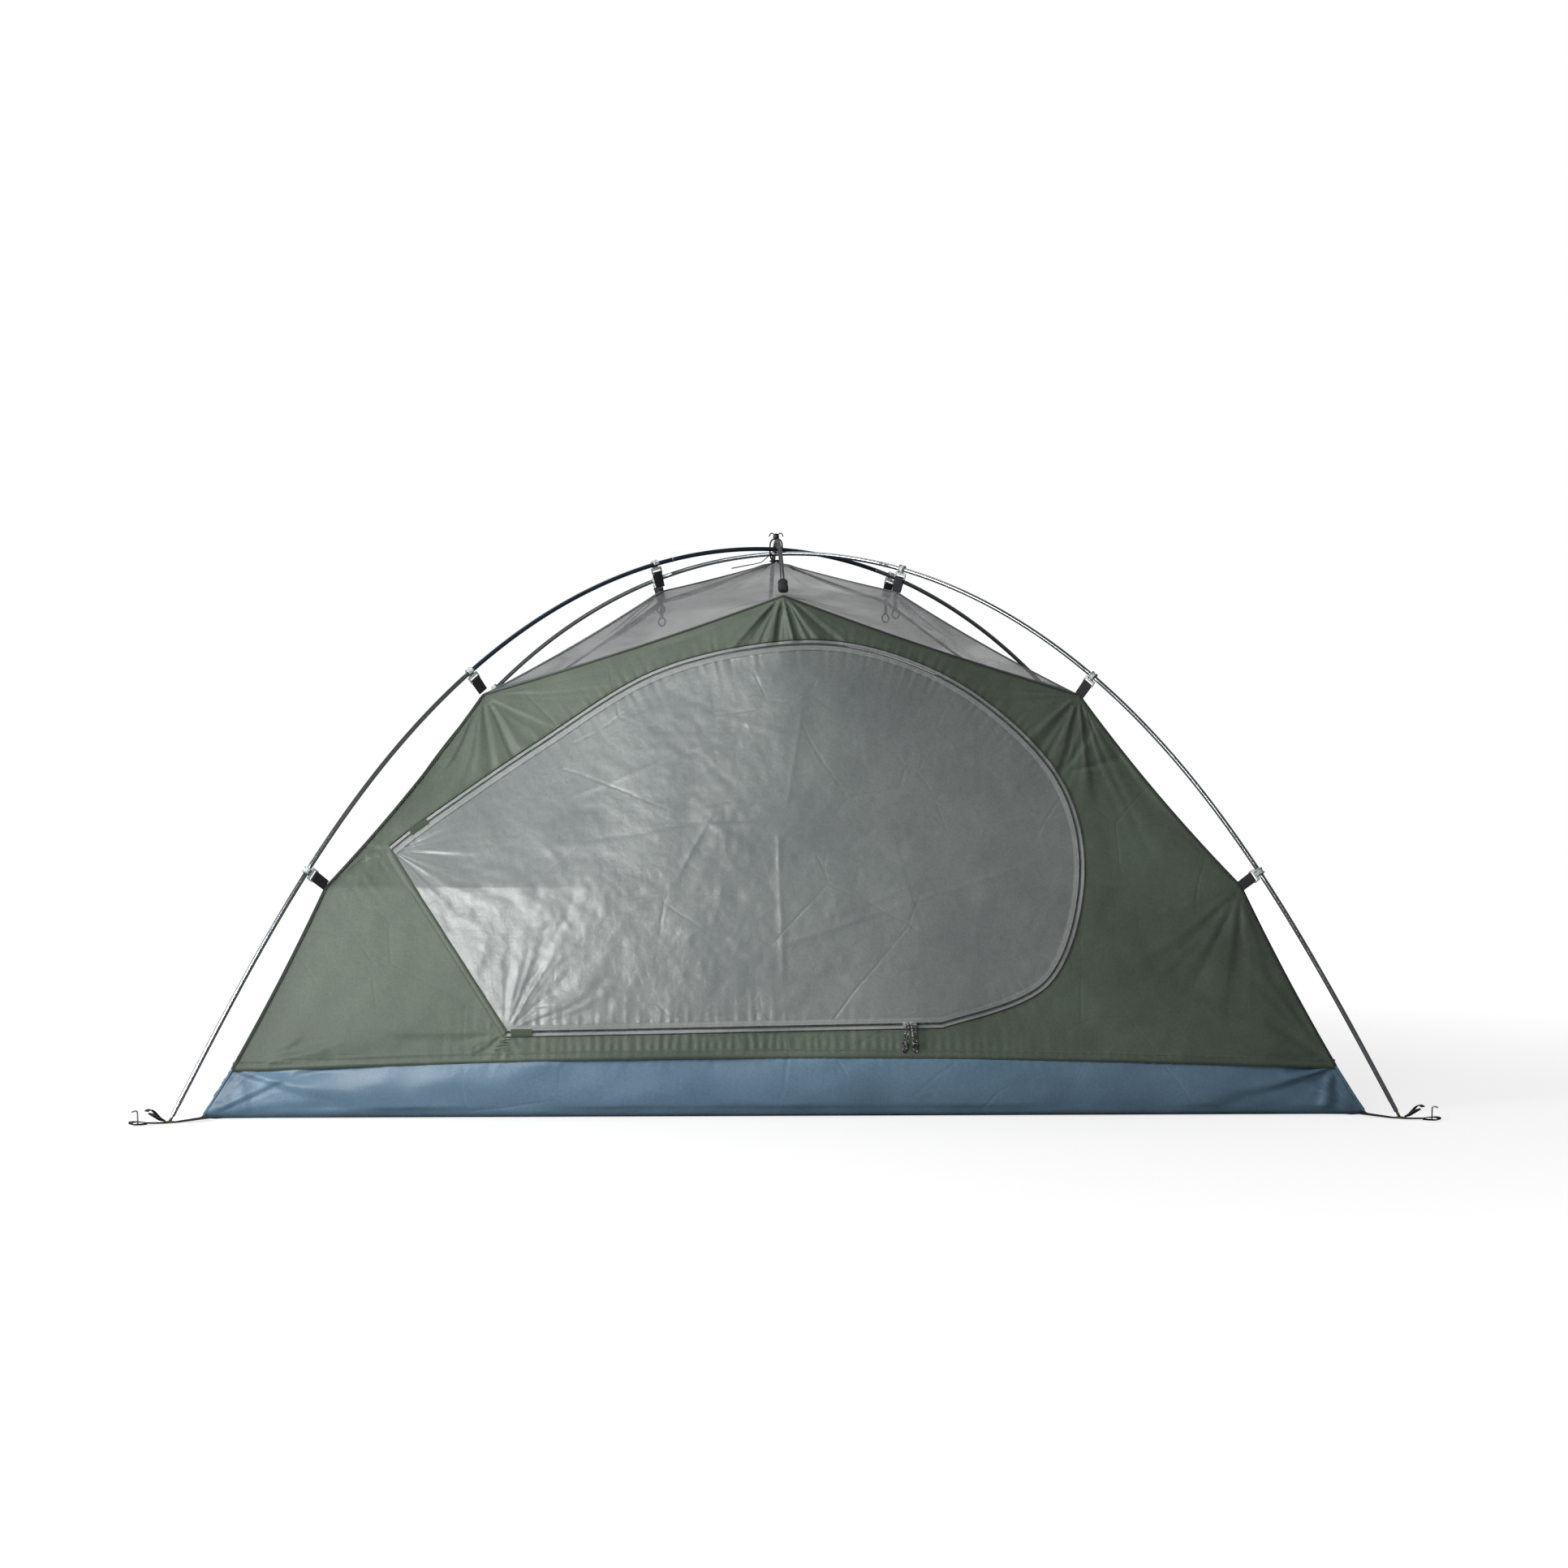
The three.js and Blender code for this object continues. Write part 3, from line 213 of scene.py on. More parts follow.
def roof_netting():
    """Fine knitted netting: a grey veil with holes, closed up in streaks where it is pulled, and paler along
    the streaks as a painted sheen.
    """
    material, tree, shader = blank("knitted_polyester_netting", Sheen_Weight=0.35,
        Specular_IOR_Level=0.3, Roughness=0.5)
    where = add(tree, "ShaderNodeTexCoord").outputs["Object"]
    stretched = add(tree, "ShaderNodeMapping", {"Vector": where, "Scale": (2.0, 1.1, 9.0),
        "Rotation": (0.3, 0.5, 0.2)}).outputs[0]
    pull_streaks_and_sheen = noise(tree, stretched, 2.6, 5.0, Distortion=0.7).outputs["Fac"]
    # The real holes are 1 mm apart, too fine to see, so they are drawn at 3 mm.
    holes = cells(tree, where, 330.0, Randomness=0.2)
    shut = remap(tree, pull_streaks_and_sheen, 0.35, 0.7, 0.5, 0.76)
    knit = remap(tree, holes, 0.0, 0.6, 0.82, 1.1)
    # The streaks make the base colour paler, a painted sheen, as well as closing up the holes and tilting the
    # normal.
    feed(tree, shader,
        Base_Color=mixed(tree, pull_streaks_and_sheen, linear("4b5052"), linear("8d9292")),
        Alpha=reckoned(tree, "MULTIPLY", shut, knit, use_clamp=True),
        Normal=bumped(tree, pull_streaks_and_sheen, 0.004, 0.5))
    return material


# The nylon's threads are 0.1 mm apart; they are drawn at 2.4 mm so that the weave shows.
WEAVE = 0.0024
FINISH = {
    # Dull plain-woven nylon: soft satin light on the folds and a slightly blotched dye.
    "green": cloth("plain_woven_green_nylon", "5f6b5d", "4b564a", "XZ", WEAVE, 0.5, 0.0007, 0.00016,
        Sheen_Weight=0.12, Sheen_Roughness=0.4, Specular_IOR_Level=0.42),
    "end_green": cloth("plain_woven_green_nylon_end", "5f6b5d", "4b564a", "YZ", WEAVE, 0.5, 0.0007, 0.00016,
        Sheen_Weight=0.12, Sheen_Roughness=0.4, Specular_IOR_Level=0.42),
    # Tight calendered nylon: smoother, so it carries one broad highlight and sharp fold lines.
    "door": cloth("calendered_grey_nylon", "848b89", "717877", "XZ", 0.0018, 0.34, 0.0007, 0.00008,
        Sheen_Weight=0.1, Sheen_Roughness=0.35, Specular_IOR_Level=0.85),
    # Polyurethane-coated nylon: flatter weave under a thin satin film.
    "tub": cloth("coated_blue_nylon", "6b899f", "577389", "XZ", WEAVE, 0.42, 0.0007, 0.0001,
        Coat_Weight=0.12, Coat_Roughness=0.35, Specular_IOR_Level=0.5),
    "band": cloth("knitted_grey_edge_tape", "6d7373", "565c5c", "XZ", 0.002, 0.7, 0.0002, 0.0003),
    "piping": cloth("dark_green_bias_binding", "3c453b", "2c342b", "XZ", 0.002, 0.6, 0.0003, 0.0003),
    "tape": cloth("knitted_zip_tape", "a0a6a4", "868c8a", "XZ", 0.0016, 0.62, 0.0002, 0.0003),
    "netting": roof_netting(),
    # Nylon monofilament coil: a hard sparkle on every turn.
    "coil": moulded("nylon_zip_coil", "6c7270", "565b5a", 0.002, 0.3, 0.00004),
    # Drawn aluminium tube, polished: long bright reflections, broken by drawing marks.
    "silver": moulded("drawn_aluminium_tube", "a0a5a9", "8c9195", 0.05, 0.2, 0.00001, Metallic=1.0),
    # The same tube in a deep blue-grey, darker than the rest, on the third and fourth lengths of pole a.
    "dark": moulded("darker_blue_grey_aluminium_tube", "4a5867", "3a4754", 0.05, 0.3, 0.00001, Metallic=0.85),
    "brass": moulded("stamped_brass", "b9a06a", "94804f", 0.0008, 0.34, 0.00003, Metallic=1.0),
    "zinc": moulded("plated_zinc_casting", "e6e8e8", "cfd2d2", 0.0006, 0.26, 0.00003, Metallic=0.8),
    "steel": moulded("bright_steel_wire", "c9cbcd", "a9acae", 0.001, 0.3, 0.00002, Metallic=1.0),
    # Unfilled nylon moulding: milky, glossy and a little see-through.
    "clear": moulded("milky_moulded_nylon", "eceeec", "d3d7d4", 0.0008, 0.3, 0.00004,
        Transmission_Weight=0.2, Subsurface_Weight=0.15),
    "black": moulded("moulded_black_acetal", "26272a", "18191b", 0.0006, 0.4, 0.00005),
    # Polyester webbing: matt, with 1.2 mm yarn cells that catch light as a fine grid.
    "webbing": braided("woven_black_webbing", "3a3b40", "232427", 0.0012, -0.1, 0.0003, Roughness=0.75),
    "elastic": braided("braided_black_elastic", "3a3b3d", "1b1b1d", 0.001, -0.1, 0.0002, Roughness=0.8),
    # Braided cord with reflective tracer threads: black with white flecks.
    "pull": braided("flecked_braided_cord", "f1f2f0", "1a1b1c", 0.0011, 0.3, 0.0002, Roughness=0.7),
    "tab": braided("green_webbing", "66745f", "4f5c4b", 0.0012, 0.2, 0.0003, Roughness=0.75),
    "green_thread": braided("spun_green_thread", "4b5649", "3a4439", 0.0008, 0.2, 0.0001, Roughness=0.7),
    "grey_thread": braided("spun_grey_thread", "858b8a", "6e7473", 0.0008, 0.2, 0.0001, Roughness=0.7),
}

# ---- shapes -------------------------------------------------------------------------


def lerp(a, b, t):
    """The value a share t of the way from a to b."""
    return a + (b - a) * t


def ease(low, high, value):
    """A smooth step from 0 at low to 1 at high."""
    t = np.clip((value - low) / (high - low), 0, 1)
    return t * t * (3 - 2 * t)


def unit(v):
    v = np.asarray(v, float)
    return v / np.linalg.norm(v, axis=-1, keepdims=True)


def grid(rows, closed_across=False):
    """Points and faces of a surface given as rows by columns of points."""
    rows = np.asarray(rows, float)
    count, across = rows.shape[:2]
    index = np.arange(count * across).reshape(count, across)
    if closed_across:
        index = np.hstack([index, index[:, :1]])
    corners = [index[:-1, :-1], index[:-1, 1:], index[1:, 1:], index[1:, :-1]]
    return rows.reshape(-1, 3), np.stack(corners, -1).reshape(-1, 4).tolist()


def frames_along(path):
    """Two directions square to a path at each point, turning as little as they can."""
    path = np.asarray(path, float)
    along = unit(np.gradient(path, axis=0))
    first = np.cross(along[0], [0, 0, 1])
    if np.linalg.norm(first) < 0.1:
        first = np.cross(along[0], [0, 1, 0])
    sides = [unit(first)]
    for direction in along[1:]:
        sides.append(unit(sides[-1] - direction * (sides[-1] @ direction)))
    sides = np.array(sides)
    return sides, np.cross(along, sides)


def swept(path, section, side=None, up=None, scale=None):
    """A closed skin: a section of [a, b] pairs carried along a path, capped at both ends."""
    path = np.asarray(path, float)
    if side is None:
        side, up = frames_along(path)
    section = np.asarray(section, float)
    scale = np.ones((len(path), 2)) if scale is None else np.asarray(scale, float)
    a = section[:, 0][None, :] * scale[:, :1]
    b = section[:, 1][None, :] * scale[:, 1:]
    rows = path[:, None] + a[..., None] * side[:, None] + b[..., None] * up[:, None]
    points, faces = grid(rows, closed_across=True)
    last = (len(path) - 1) * len(section)
    faces.append(list(range(len(section)))[::-1])
    faces.append([last + k for k in range(len(section))])
    return points, faces


def round_section(radius, sides):
    """The section of a round cord or tube."""
    angle = np.arange(sides) * 2 * math.pi / sides
    return np.stack([np.cos(angle), np.sin(angle)], -1) * radius


def strap_section(width, thickness):
    """A flat strap's section with rounded edges."""
    w, t = width / 2, thickness / 2
    half = [[-w, 0], [-w + t * 0.5, -t * 0.8], [-w + t * 1.5, -t], [w - t * 1.5, -t],
        [w - t * 0.5, -t * 0.8]]
    return np.array(half + [[-a, -b] for a, b in half])


def block(size, centre, edge):
    """A box with rounded edges."""
    made = bmesh.new()
    bmesh.ops.create_cube(made, size=1.0)
    bmesh.ops.scale(made, vec=size, verts=made.verts)
    bmesh.ops.bevel(made, geom=made.edges[:], offset=edge, segments=2, profile=0.5, affect="EDGES")
    points = np.array([v.co[:] for v in made.verts]) + np.array(centre)
    faces = [[v.index for v in f.verts] for f in made.faces]
    made.free()
    return points, faces


def lathe(profile, sides, centre):
    """A ring or knob turned round an upright line, from a closed run of [radius, height]."""
    angle = np.arange(sides) * 2 * math.pi / sides
    rows = [
        np.stack([r * np.cos(angle), r * np.sin(angle), np.full(sides, h)], -1)
        for r, h in [*profile, profile[0]]
    ]
    points, faces = grid(np.array(rows), closed_across=True)
    return points + np.array(centre), faces


def joined(parts):
    """One mesh from several lists of points and faces."""
    points, faces, offset = [], [], 0
    for part_points, part_faces in parts:
        points.append(np.asarray(part_points, float))
        faces += [[k + offset for k in face] for face in part_faces]
        offset += len(part_points)
    return np.concatenate(points), faces


def moved(part, axes, origin):
    """A part taken from its own axes, given as three directions, into the frame."""
    return part[0] @ np.array(axes, float) + np.array(origin), part[1]


def turned(part):
    """A part turned half round the upright axis."""
    return part[0] * np.array([-1, -1, 1]), part[1]


def ribbon(path, width, thickness, across):
    """A strap along a path, its width along one fixed direction."""
    across = np.tile(across, (len(path), 1))
    up = np.cross(unit(np.gradient(path, axis=0)), across)
    return swept(path, strap_section(width, thickness), across, up)


def hoop(ring, radius, sides):
    """A round cord closed on itself."""
    return swept(np.concatenate([ring, ring[:2]]), round_section(radius, sides))


def length_of(line):
    return float(np.linalg.norm(np.diff(line, axis=0), axis=1).sum())


def in_scene(name, data):
    made = bpy.data.objects.new(name, data)
    bpy.context.scene.collection.objects.link(made)
    return made


def shown(name, mesh, material, body, replaces):
    """A mesh set in the scene on its body, with the imported parts it replaces hidden."""
    mesh.materials.clear()
    mesh.materials.append(material)
    mesh.shade_smooth()
    made = in_scene(name, mesh)
    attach(made, body)
    if replaces:
        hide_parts(*replaces)
    return made


def piece(name, parts, finish, body="root", replaces=(), skin=False, sharp=40):
    """A piece of the tent. A skin is an open sheet that faces away from the inside of the tent."""
    points, faces = joined(parts)
    mesh = bpy.data.meshes.new(name)
    mesh.from_pydata(points.tolist(), [], faces)
    made = bmesh.new()
    made.from_mesh(mesh)
    bmesh.ops.remove_doubles(made, verts=made.verts, dist=1e-6)
    if skin:
        away = sum(f.normal.dot(f.calc_center_median() - Vector(INSIDE)) * f.calc_area() for f in made.faces)
        if away < 0:
            bmesh.ops.reverse_faces(made, faces=made.faces)
    else:
        bmesh.ops.recalc_face_normals(made, faces=made.faces)
    made.to_mesh(mesh)
    made.free()
    result = shown(name, mesh, FINISH[finish], body, replaces)
    if not skin:
        mesh.set_sharp_from_angle(angle=math.radians(sharp))
    return result


# ---- the poles' curve ---------------------------------------------------------------

ROD_STEPS = 240


def bent_rod(height, stiffness):
    """Walks a springy rod from its top; it bends in proportion to its height above its ends."""
    step = POLE_HALF / ROD_STEPS
    r, z, slope = 0.0, height, 0.0
    line = [(r, z, slope)]
    for _ in range(ROD_STEPS):
        half_slope = slope + stiffness * z * step / 2
        half_z = z - math.sin(half_slope) * step / 2
        slope += stiffness * half_z * step
        r += math.cos(slope) * step
        z -= math.sin(slope) * step
        line.append((r, z, slope))
    return line


def bisect(low, high, too_low):
    """The value between low and high where too_low turns false."""
    for _ in range(44):
        middle = (low + high) / 2
        low, high = (middle, high) if too_low(middle) else (low, middle)
    return (low + high) / 2


def stiffness_for(height):
    """The bend that brings a rod of this height down to the ground."""
    return bisect(1e-6, (math.pi / POLE_HALF) ** 2, lambda k: bent_rod(height, k)[-1][1] > 0)


ARCH_TOP = bisect(0.9, 1.2, lambda h: bent_rod(h, stiffness_for(h))[-1][0] > FOOT_REACH)
ROD = np.array(bent_rod(ARCH_TOP, stiffness_for(ARCH_TOP)))
POLES = {
    "a": (unit(FOOT), 1 + CROSSING_LIFT / ARCH_TOP),
    "b": (unit(FOOT * [-1, 1]), 1.0),
}


def pole_frame(letter, distance):
    """Point, tangent and normal of a long pole at signed distances from its top."""
    heading, stretch = POLES[letter]
    distance = np.atleast_1d(np.asarray(distance, float))
    at = np.abs(distance) / POLE_HALF * ROD_STEPS
    r, z, slope = (np.interp(at, np.arange(ROD_STEPS + 1), ROD[:, k]) for k in range(3))
    sign = np.where(distance < 0, -1.0, 1.0)
    slope = slope * sign
    level = heading[None, :] * np.ones((len(distance), 1))
    point = np.column_stack([level * (r * sign)[:, None], z * stretch + FOOT_LIFT])
    tangent = np.column_stack([level * np.cos(slope)[:, None], -np.sin(slope)])
    normal = np.column_stack([level * np.sin(slope)[:, None], np.cos(slope)])
    return point, tangent, normal


RIDGE_RADIUS = (RIDGE_HALF ** 2 + RIDGE_DROP ** 2) / (2 * RIDGE_DROP)
RIDGE_LENGTH = 2 * RIDGE_RADIUS * math.asin(RIDGE_HALF / RIDGE_RADIUS)


def ridge_frame(distance):
    """Point, tangent and normal of the ridge pole at signed distances from its top."""
    angle = np.atleast_1d(np.asarray(distance, float)) / RIDGE_RADIUS
    none = np.zeros_like(angle)
    drop = RIDGE_RADIUS * (1 - np.cos(angle))
    point = np.column_stack([none, RIDGE_RADIUS * np.sin(angle), RIDGE_TOP - drop])
    tangent = np.column_stack([none, np.cos(angle), -np.sin(angle)])
    normal = np.column_stack([none, np.sin(angle), np.cos(angle)])
    return point, tangent, normal


def pole_segment(name, frame_at, start, end, tips, finish):
    """One length of tube with eased rims, and its tip where it ends a pole."""
    stations = np.linspace(start + 0.0012, end - 0.0012, 26).tolist()
    rim = [(0.0, 0.0032), (0.0003, 0.0039), (0.0012, POLE_RADIUS)]
    tip = [(0.0, 0.0004), (0.0004, 0.0016), (0.002, 0.0026), (0.012, 0.0026), (0.0132, 0.0039),
        (0.0336, 0.0039), (0.034, POLE_RADIUS)]
    lead, tail = (tip if tips[0] else rim), (tip if tips[1] else rim)
    run = {(s, POLE_RADIUS) for s in stations if start + lead[-1][0] < s < end - tail[-1][0]}
    run |= {(start + s, r) for s, r in lead} | {(end - s, r) for s, r in tail}
    run = sorted(run)
    point, tangent, normal = frame_at([s for s, _ in run])
    side = np.cross(normal, tangent)
    scale = np.array([[r, r] for _, r in run])
    tube = swept(point, round_section(1.0, 16), side, normal, scale)
    return piece(f"{name}_tube", [tube], finish, replaces=(name,), sharp=35)


def collar(frame_at, station):
    """The thin bright ring of a joint between two lengths of tube."""
    profile = [(-0.0016, 0.0042), (-0.0012, 0.0046), (0.0012, 0.0046), (0.0016, 0.0042)]
    point, tangent, normal = frame_at([station + s for s, _ in profile])
    scale = np.array([[r, r] for _, r in profile])
    return swept(point, round_section(1.0, 16), np.cross(normal, tangent), normal, scale)


def build_poles():
    length = 2 * POLE_HALF / POLE_SEGMENTS
    collars = []
    for letter in POLES:
        def frame_at(s, letter=letter):
            return pole_frame(letter, s)
        for k in range(POLE_SEGMENTS):
            start = -POLE_HALF + k * length
            is_dark = letter == "a" and k in (2, 3)
            finish, slot = ("dark", "dark_anodised_aluminium") if is_dark else ("silver", "silver_aluminium")
            tips = (k == 0, k == POLE_SEGMENTS - 1)
            pole_segment(f"pole_{letter}_segment_{k + 1}", frame_at, start, start + length, tips,
                finish)
            if k:
                collars.append(collar(frame_at, start))
    for k in range(2):
        start = -RIDGE_LENGTH / 2 + k * RIDGE_LENGTH / 2
        pole_segment(f"ridge_pole_segment_{k + 1}", ridge_frame, start, start + RIDGE_LENGTH / 2,
            (k == 0, k == 1), "silver")
    piece("pole_joint_collars", collars, "steel")


build_poles()

# ---- seams of the canopy ------------------------------------------------------------


def hip_table():
    """The hip seam from the tub's corner over the clips to the apex, a little slack between them."""
    stations = [0.0]
    corners = [TUB_CORNER]
    for level in ("lower", "middle", "upper"):
        point, _, normal = pole_frame("b", CLIP_STATIONS[level])
        corners.append(np.abs(point[0] - CLIP_DROP * normal[0]))
    corners.append(np.array([0.0, 0.0, ARCH_TOP + FOOT_LIFT - 0.017]))
    table = []
    for k, sag in enumerate(HIP_SAG):
        a, b = corners[k], corners[k + 1]
        run = b - a
        rise = math.hypot(*run[:2])
        level = unit(run[:2])
        inward = np.array([*(level * run[2]), -rise]) / np.linalg.norm(run)
        for f in np.linspace(0, 1, 40, endpoint=k == 3):
            table.append(lerp(a, b, f) + inward * sag * 4 * f * (1 - f))
            stations.append(k + f)
    return np.array(stations[1:]), np.array(table), corners


HIP_T, HIP, HIP_CORNERS = hip_table()
APEX = HIP_CORNERS[4]
MIDDLE = HIP_CORNERS[2]
BROW_SAG = 0.006


def hip_at(t):
    """Points of the hip seam; t counts its corners, 0 at the foot and 4 at the apex."""
    return np.stack([np.interp(t, HIP_T, HIP[:, k]) for k in range(3)], -1)


def hip_at_height(z):
    """Half width and depth of the hip seam at a height."""
    return np.stack([np.interp(z, HIP[:, 2], HIP[:, 0]), np.interp(z, HIP[:, 2], HIP[:, 1])], -1)


def brow_at(f):
    """The brow seam, from the middle clip at 0 to the peak at 1."""
    f = np.asarray(f, float)[..., None]
    return lerp(MIDDLE, PEAK, f) - np.array([0, 0, BROW_SAG]) * 4 * f * (1 - f)


BROW = brow_at(np.linspace(0, 1, 80))


def front_edge(z):
    """Half width and depth of the front wall's outer edge at each height."""
    low = hip_at_height(z)
    high = np.stack([np.interp(z, BROW[:, 2], BROW[:, 0]), np.interp(z, BROW[:, 2], BROW[:, 1])], -1)
    return np.where((z <= MIDDLE[2])[..., None], low, high)


def wall_depth(x, z):
    """How far the front wall stands out from the tent's middle plane."""
    x, z = np.broadcast_arrays(np.asarray(x, float), np.asarray(z, float))
    foot = TUB_CORNER[2] + TUB_RISE
    centre = lerp(TUB_HALF[1], PEAK[1], (z - foot) / (PEAK[2] - foot))
    edge = front_edge(z)
    rise = np.clip((z - foot) / (HIP_CORNERS[1][2] - foot), 0, 1)
    share = np.minimum(np.abs(x) / np.maximum(edge[..., 0], 0.001), 1.25)
    return centre + (edge[..., 1] - centre) * share ** lerp(3.0, 1.6, rise)


def tub_top(across):
    """Height of the tub's rim across a side, -1 to 1."""
    return TUB_CORNER[2] + TUB_RISE * (1 - np.minimum(1, np.asarray(across, float) ** 2))


def spline(points, per_span):
    """An even Catmull-Rom curve through the points."""
    p = np.asarray(points, float)
    t = np.linspace(0, 1, per_span, endpoint=False)[:, None]
    out = []
    for i in range(len(p) - 1):
        a, b, c, d = p[max(i - 1, 0)], p[i], p[i + 1], p[min(i + 2, len(p) - 1)]
        v, w = (c - a) / 2, (d - b) / 2
        out.append((2 * b - 2 * c + v + w) * t ** 3 + (-3 * b + 3 * c - 2 * v - w) * t ** 2 + v * t + b)
    return np.concatenate([*out, p[-1:]])


def spaced(path, count):
    """The same line, as evenly spaced points."""
    path = np.asarray(path, float)
    run = np.concatenate([[0], np.cumsum(np.linalg.norm(np.diff(path, axis=0), axis=1))])
    at = np.linspace(0, run[-1], count)
    return np.stack([np.interp(at, run, path[:, k]) for k in range(path.shape[1])], -1)


ZIP_LINE = spaced(np.concatenate([
    lerp(HINGE_FOOT, SILL_END, np.linspace(0, 1, 60, endpoint=False)[:, None]),
    spline([SILL_END, *DOOR_ROUND, HINGE_TOP], 24),
]), 520)
ZIP_ALONG = unit(np.gradient(ZIP_LINE, axis=0))
ZIP_OUT = np.stack([ZIP_ALONG[:, 1], -ZIP_ALONG[:, 0]], -1)
ZIP_LENGTH = length_of(ZIP_LINE)
HINGE_LINE = lerp(HINGE_TOP, HINGE_FOOT, np.linspace(0, 1, 60)[:, None])
HINGE_ALONG = unit(HINGE_FOOT - HINGE_TOP)
HINGE_OUT = np.array([HINGE_ALONG[1], -HINGE_ALONG[0]])


def cloudy(u, v, seed):
    """Smooth noise from -1 to 1, one bump to each unit."""
    table = np.random.default_rng(seed).uniform(-1, 1, (64, 64))
    iu, iv = np.floor(u).astype(int), np.floor(v).astype(int)
    fu, fv = u - iu, v - iv
    fu, fv = fu * fu * (3 - 2 * fu), fv * fv * (3 - 2 * fv)
    low = lerp(table[iu % 64, iv % 64], table[(iu + 1) % 64, iv % 64], fu)
    high = lerp(table[iu % 64, (iv + 1) % 64], table[(iu + 1) % 64, (iv + 1) % 64], fu)
    return lerp(low, high, fv)


def fan(u, v, root, toward, spread, reach, pleats, height, seed):
    """Pleats drawn out from a held point, in the plane of a panel."""
    du, dv = u - root[0], v - root[1]
    r = np.hypot(du, dv)
    angle = np.arctan2(dv, du) - math.atan2(toward[1], toward[0])
    angle = (angle + math.pi) % (2 * math.pi) - math.pi
    bent = angle * pleats + 1.3 * cloudy(r * 9 + seed, angle * 2.5 + 7, seed)
    wave = np.sin(bent) + 0.55 * np.sin(bent * 1.93 + seed) + 0.3 * np.sin(bent * 3.3 + 2 * seed)
    sharp = np.sign(wave) * np.abs(wave) ** 0.85
    window = np.exp(-((angle / spread) ** 4)) * np.exp(-((r / reach) ** 1.6)) * ease(0.0, 0.16 * reach, r)
    return height * sharp * window


def creases(x, z, lines):
    """Sharp fold lines: each is x0, z0, x1, z1 and its height, falling away on both sides."""
    total = np.zeros_like(x)
    for x0, z0, x1, z1, height in lines:
        run = np.array([x1 - x0, z1 - z0])
        length = math.hypot(*run)
        along = ((x - x0) * run[0] + (z - z0) * run[1]) / length
        off = ((z - z0) * run[0] - (x - x0) * run[1]) / length
        off = off + 0.004 * cloudy(along * 11, np.full_like(x, height * 9000), 5)
        ends = ease(-0.02, 0.03, along) * ease(-0.02, 0.03, length - along)
        total += height * np.exp(-np.abs(off) / 0.0045) * ends
    return total


def fold_lines():
    """Long folds from packing across the door, and many short ones scattered over it."""
    rng = np.random.default_rng(11)
    lines = [
        [-0.15, 0.527, 0.46, 0.534, 0.0011], [-0.02, 0.306, 0.47, 0.462, 0.0011],
        [0.03, 0.745, 0.005, 0.565, 0.0009], [-0.012, 0.51, -0.008, 0.25, 0.0011],
        [0.07, 0.355, 0.3, 0.44, 0.0008], [-0.40, 0.575, -0.18, 0.66, 0.0007],
        [-0.14, 0.545, -0.2, 0.43, 0.0009], [-0.36, 0.50, -0.15, 0.53, -0.0007],
        [0.14, 0.62, 0.42, 0.59, -0.0007], [0.2, 0.50, 0.24, 0.34, 0.0007],
        [-0.30, 0.36, -0.04, 0.31, 0.0007], [-0.05, 0.24, 0.28, 0.27, -0.0007],
    ]
    for _ in range(64):
        x, z = rng.uniform(-0.6, 0.5), rng.uniform(0.2, 0.8)
        angle = rng.choice([0.1, 0.5, -0.6, 1.4]) + rng.normal(0, 0.28)
        length = rng.uniform(0.03, 0.13)
        height = rng.choice([-1, 1]) * rng.uniform(0.00025, 0.0007)
        lines.append([x, z, x + math.cos(angle) * length, z + math.sin(angle) * length, height])
    return lines


DOOR_FOLDS = fold_lines()


def from_zip(x, z):
    """Signed distance from the zip's line, positive outside the door, and the place along it."""
    flat = np.stack([x.ravel(), z.ravel()], -1)
    gap = np.empty(len(flat))
    place = np.empty(len(flat))
    for start in range(0, len(flat), 6000):
        part = flat[start:start + 6000]
        reach = part[:, None] - ZIP_LINE[None]
        near = np.argmin((reach ** 2).sum(-1), 1)
        rows = np.arange(len(part))
        gap[start:start + 6000] = (reach[rows, near] * ZIP_OUT[near]).sum(-1)
        slip = (reach[rows, near] * ZIP_ALONG[near]).sum(-1)
        place[start:start + 6000] = near / len(ZIP_LINE) * ZIP_LENGTH + slip
    return gap.reshape(x.shape), place.reshape(x.shape)


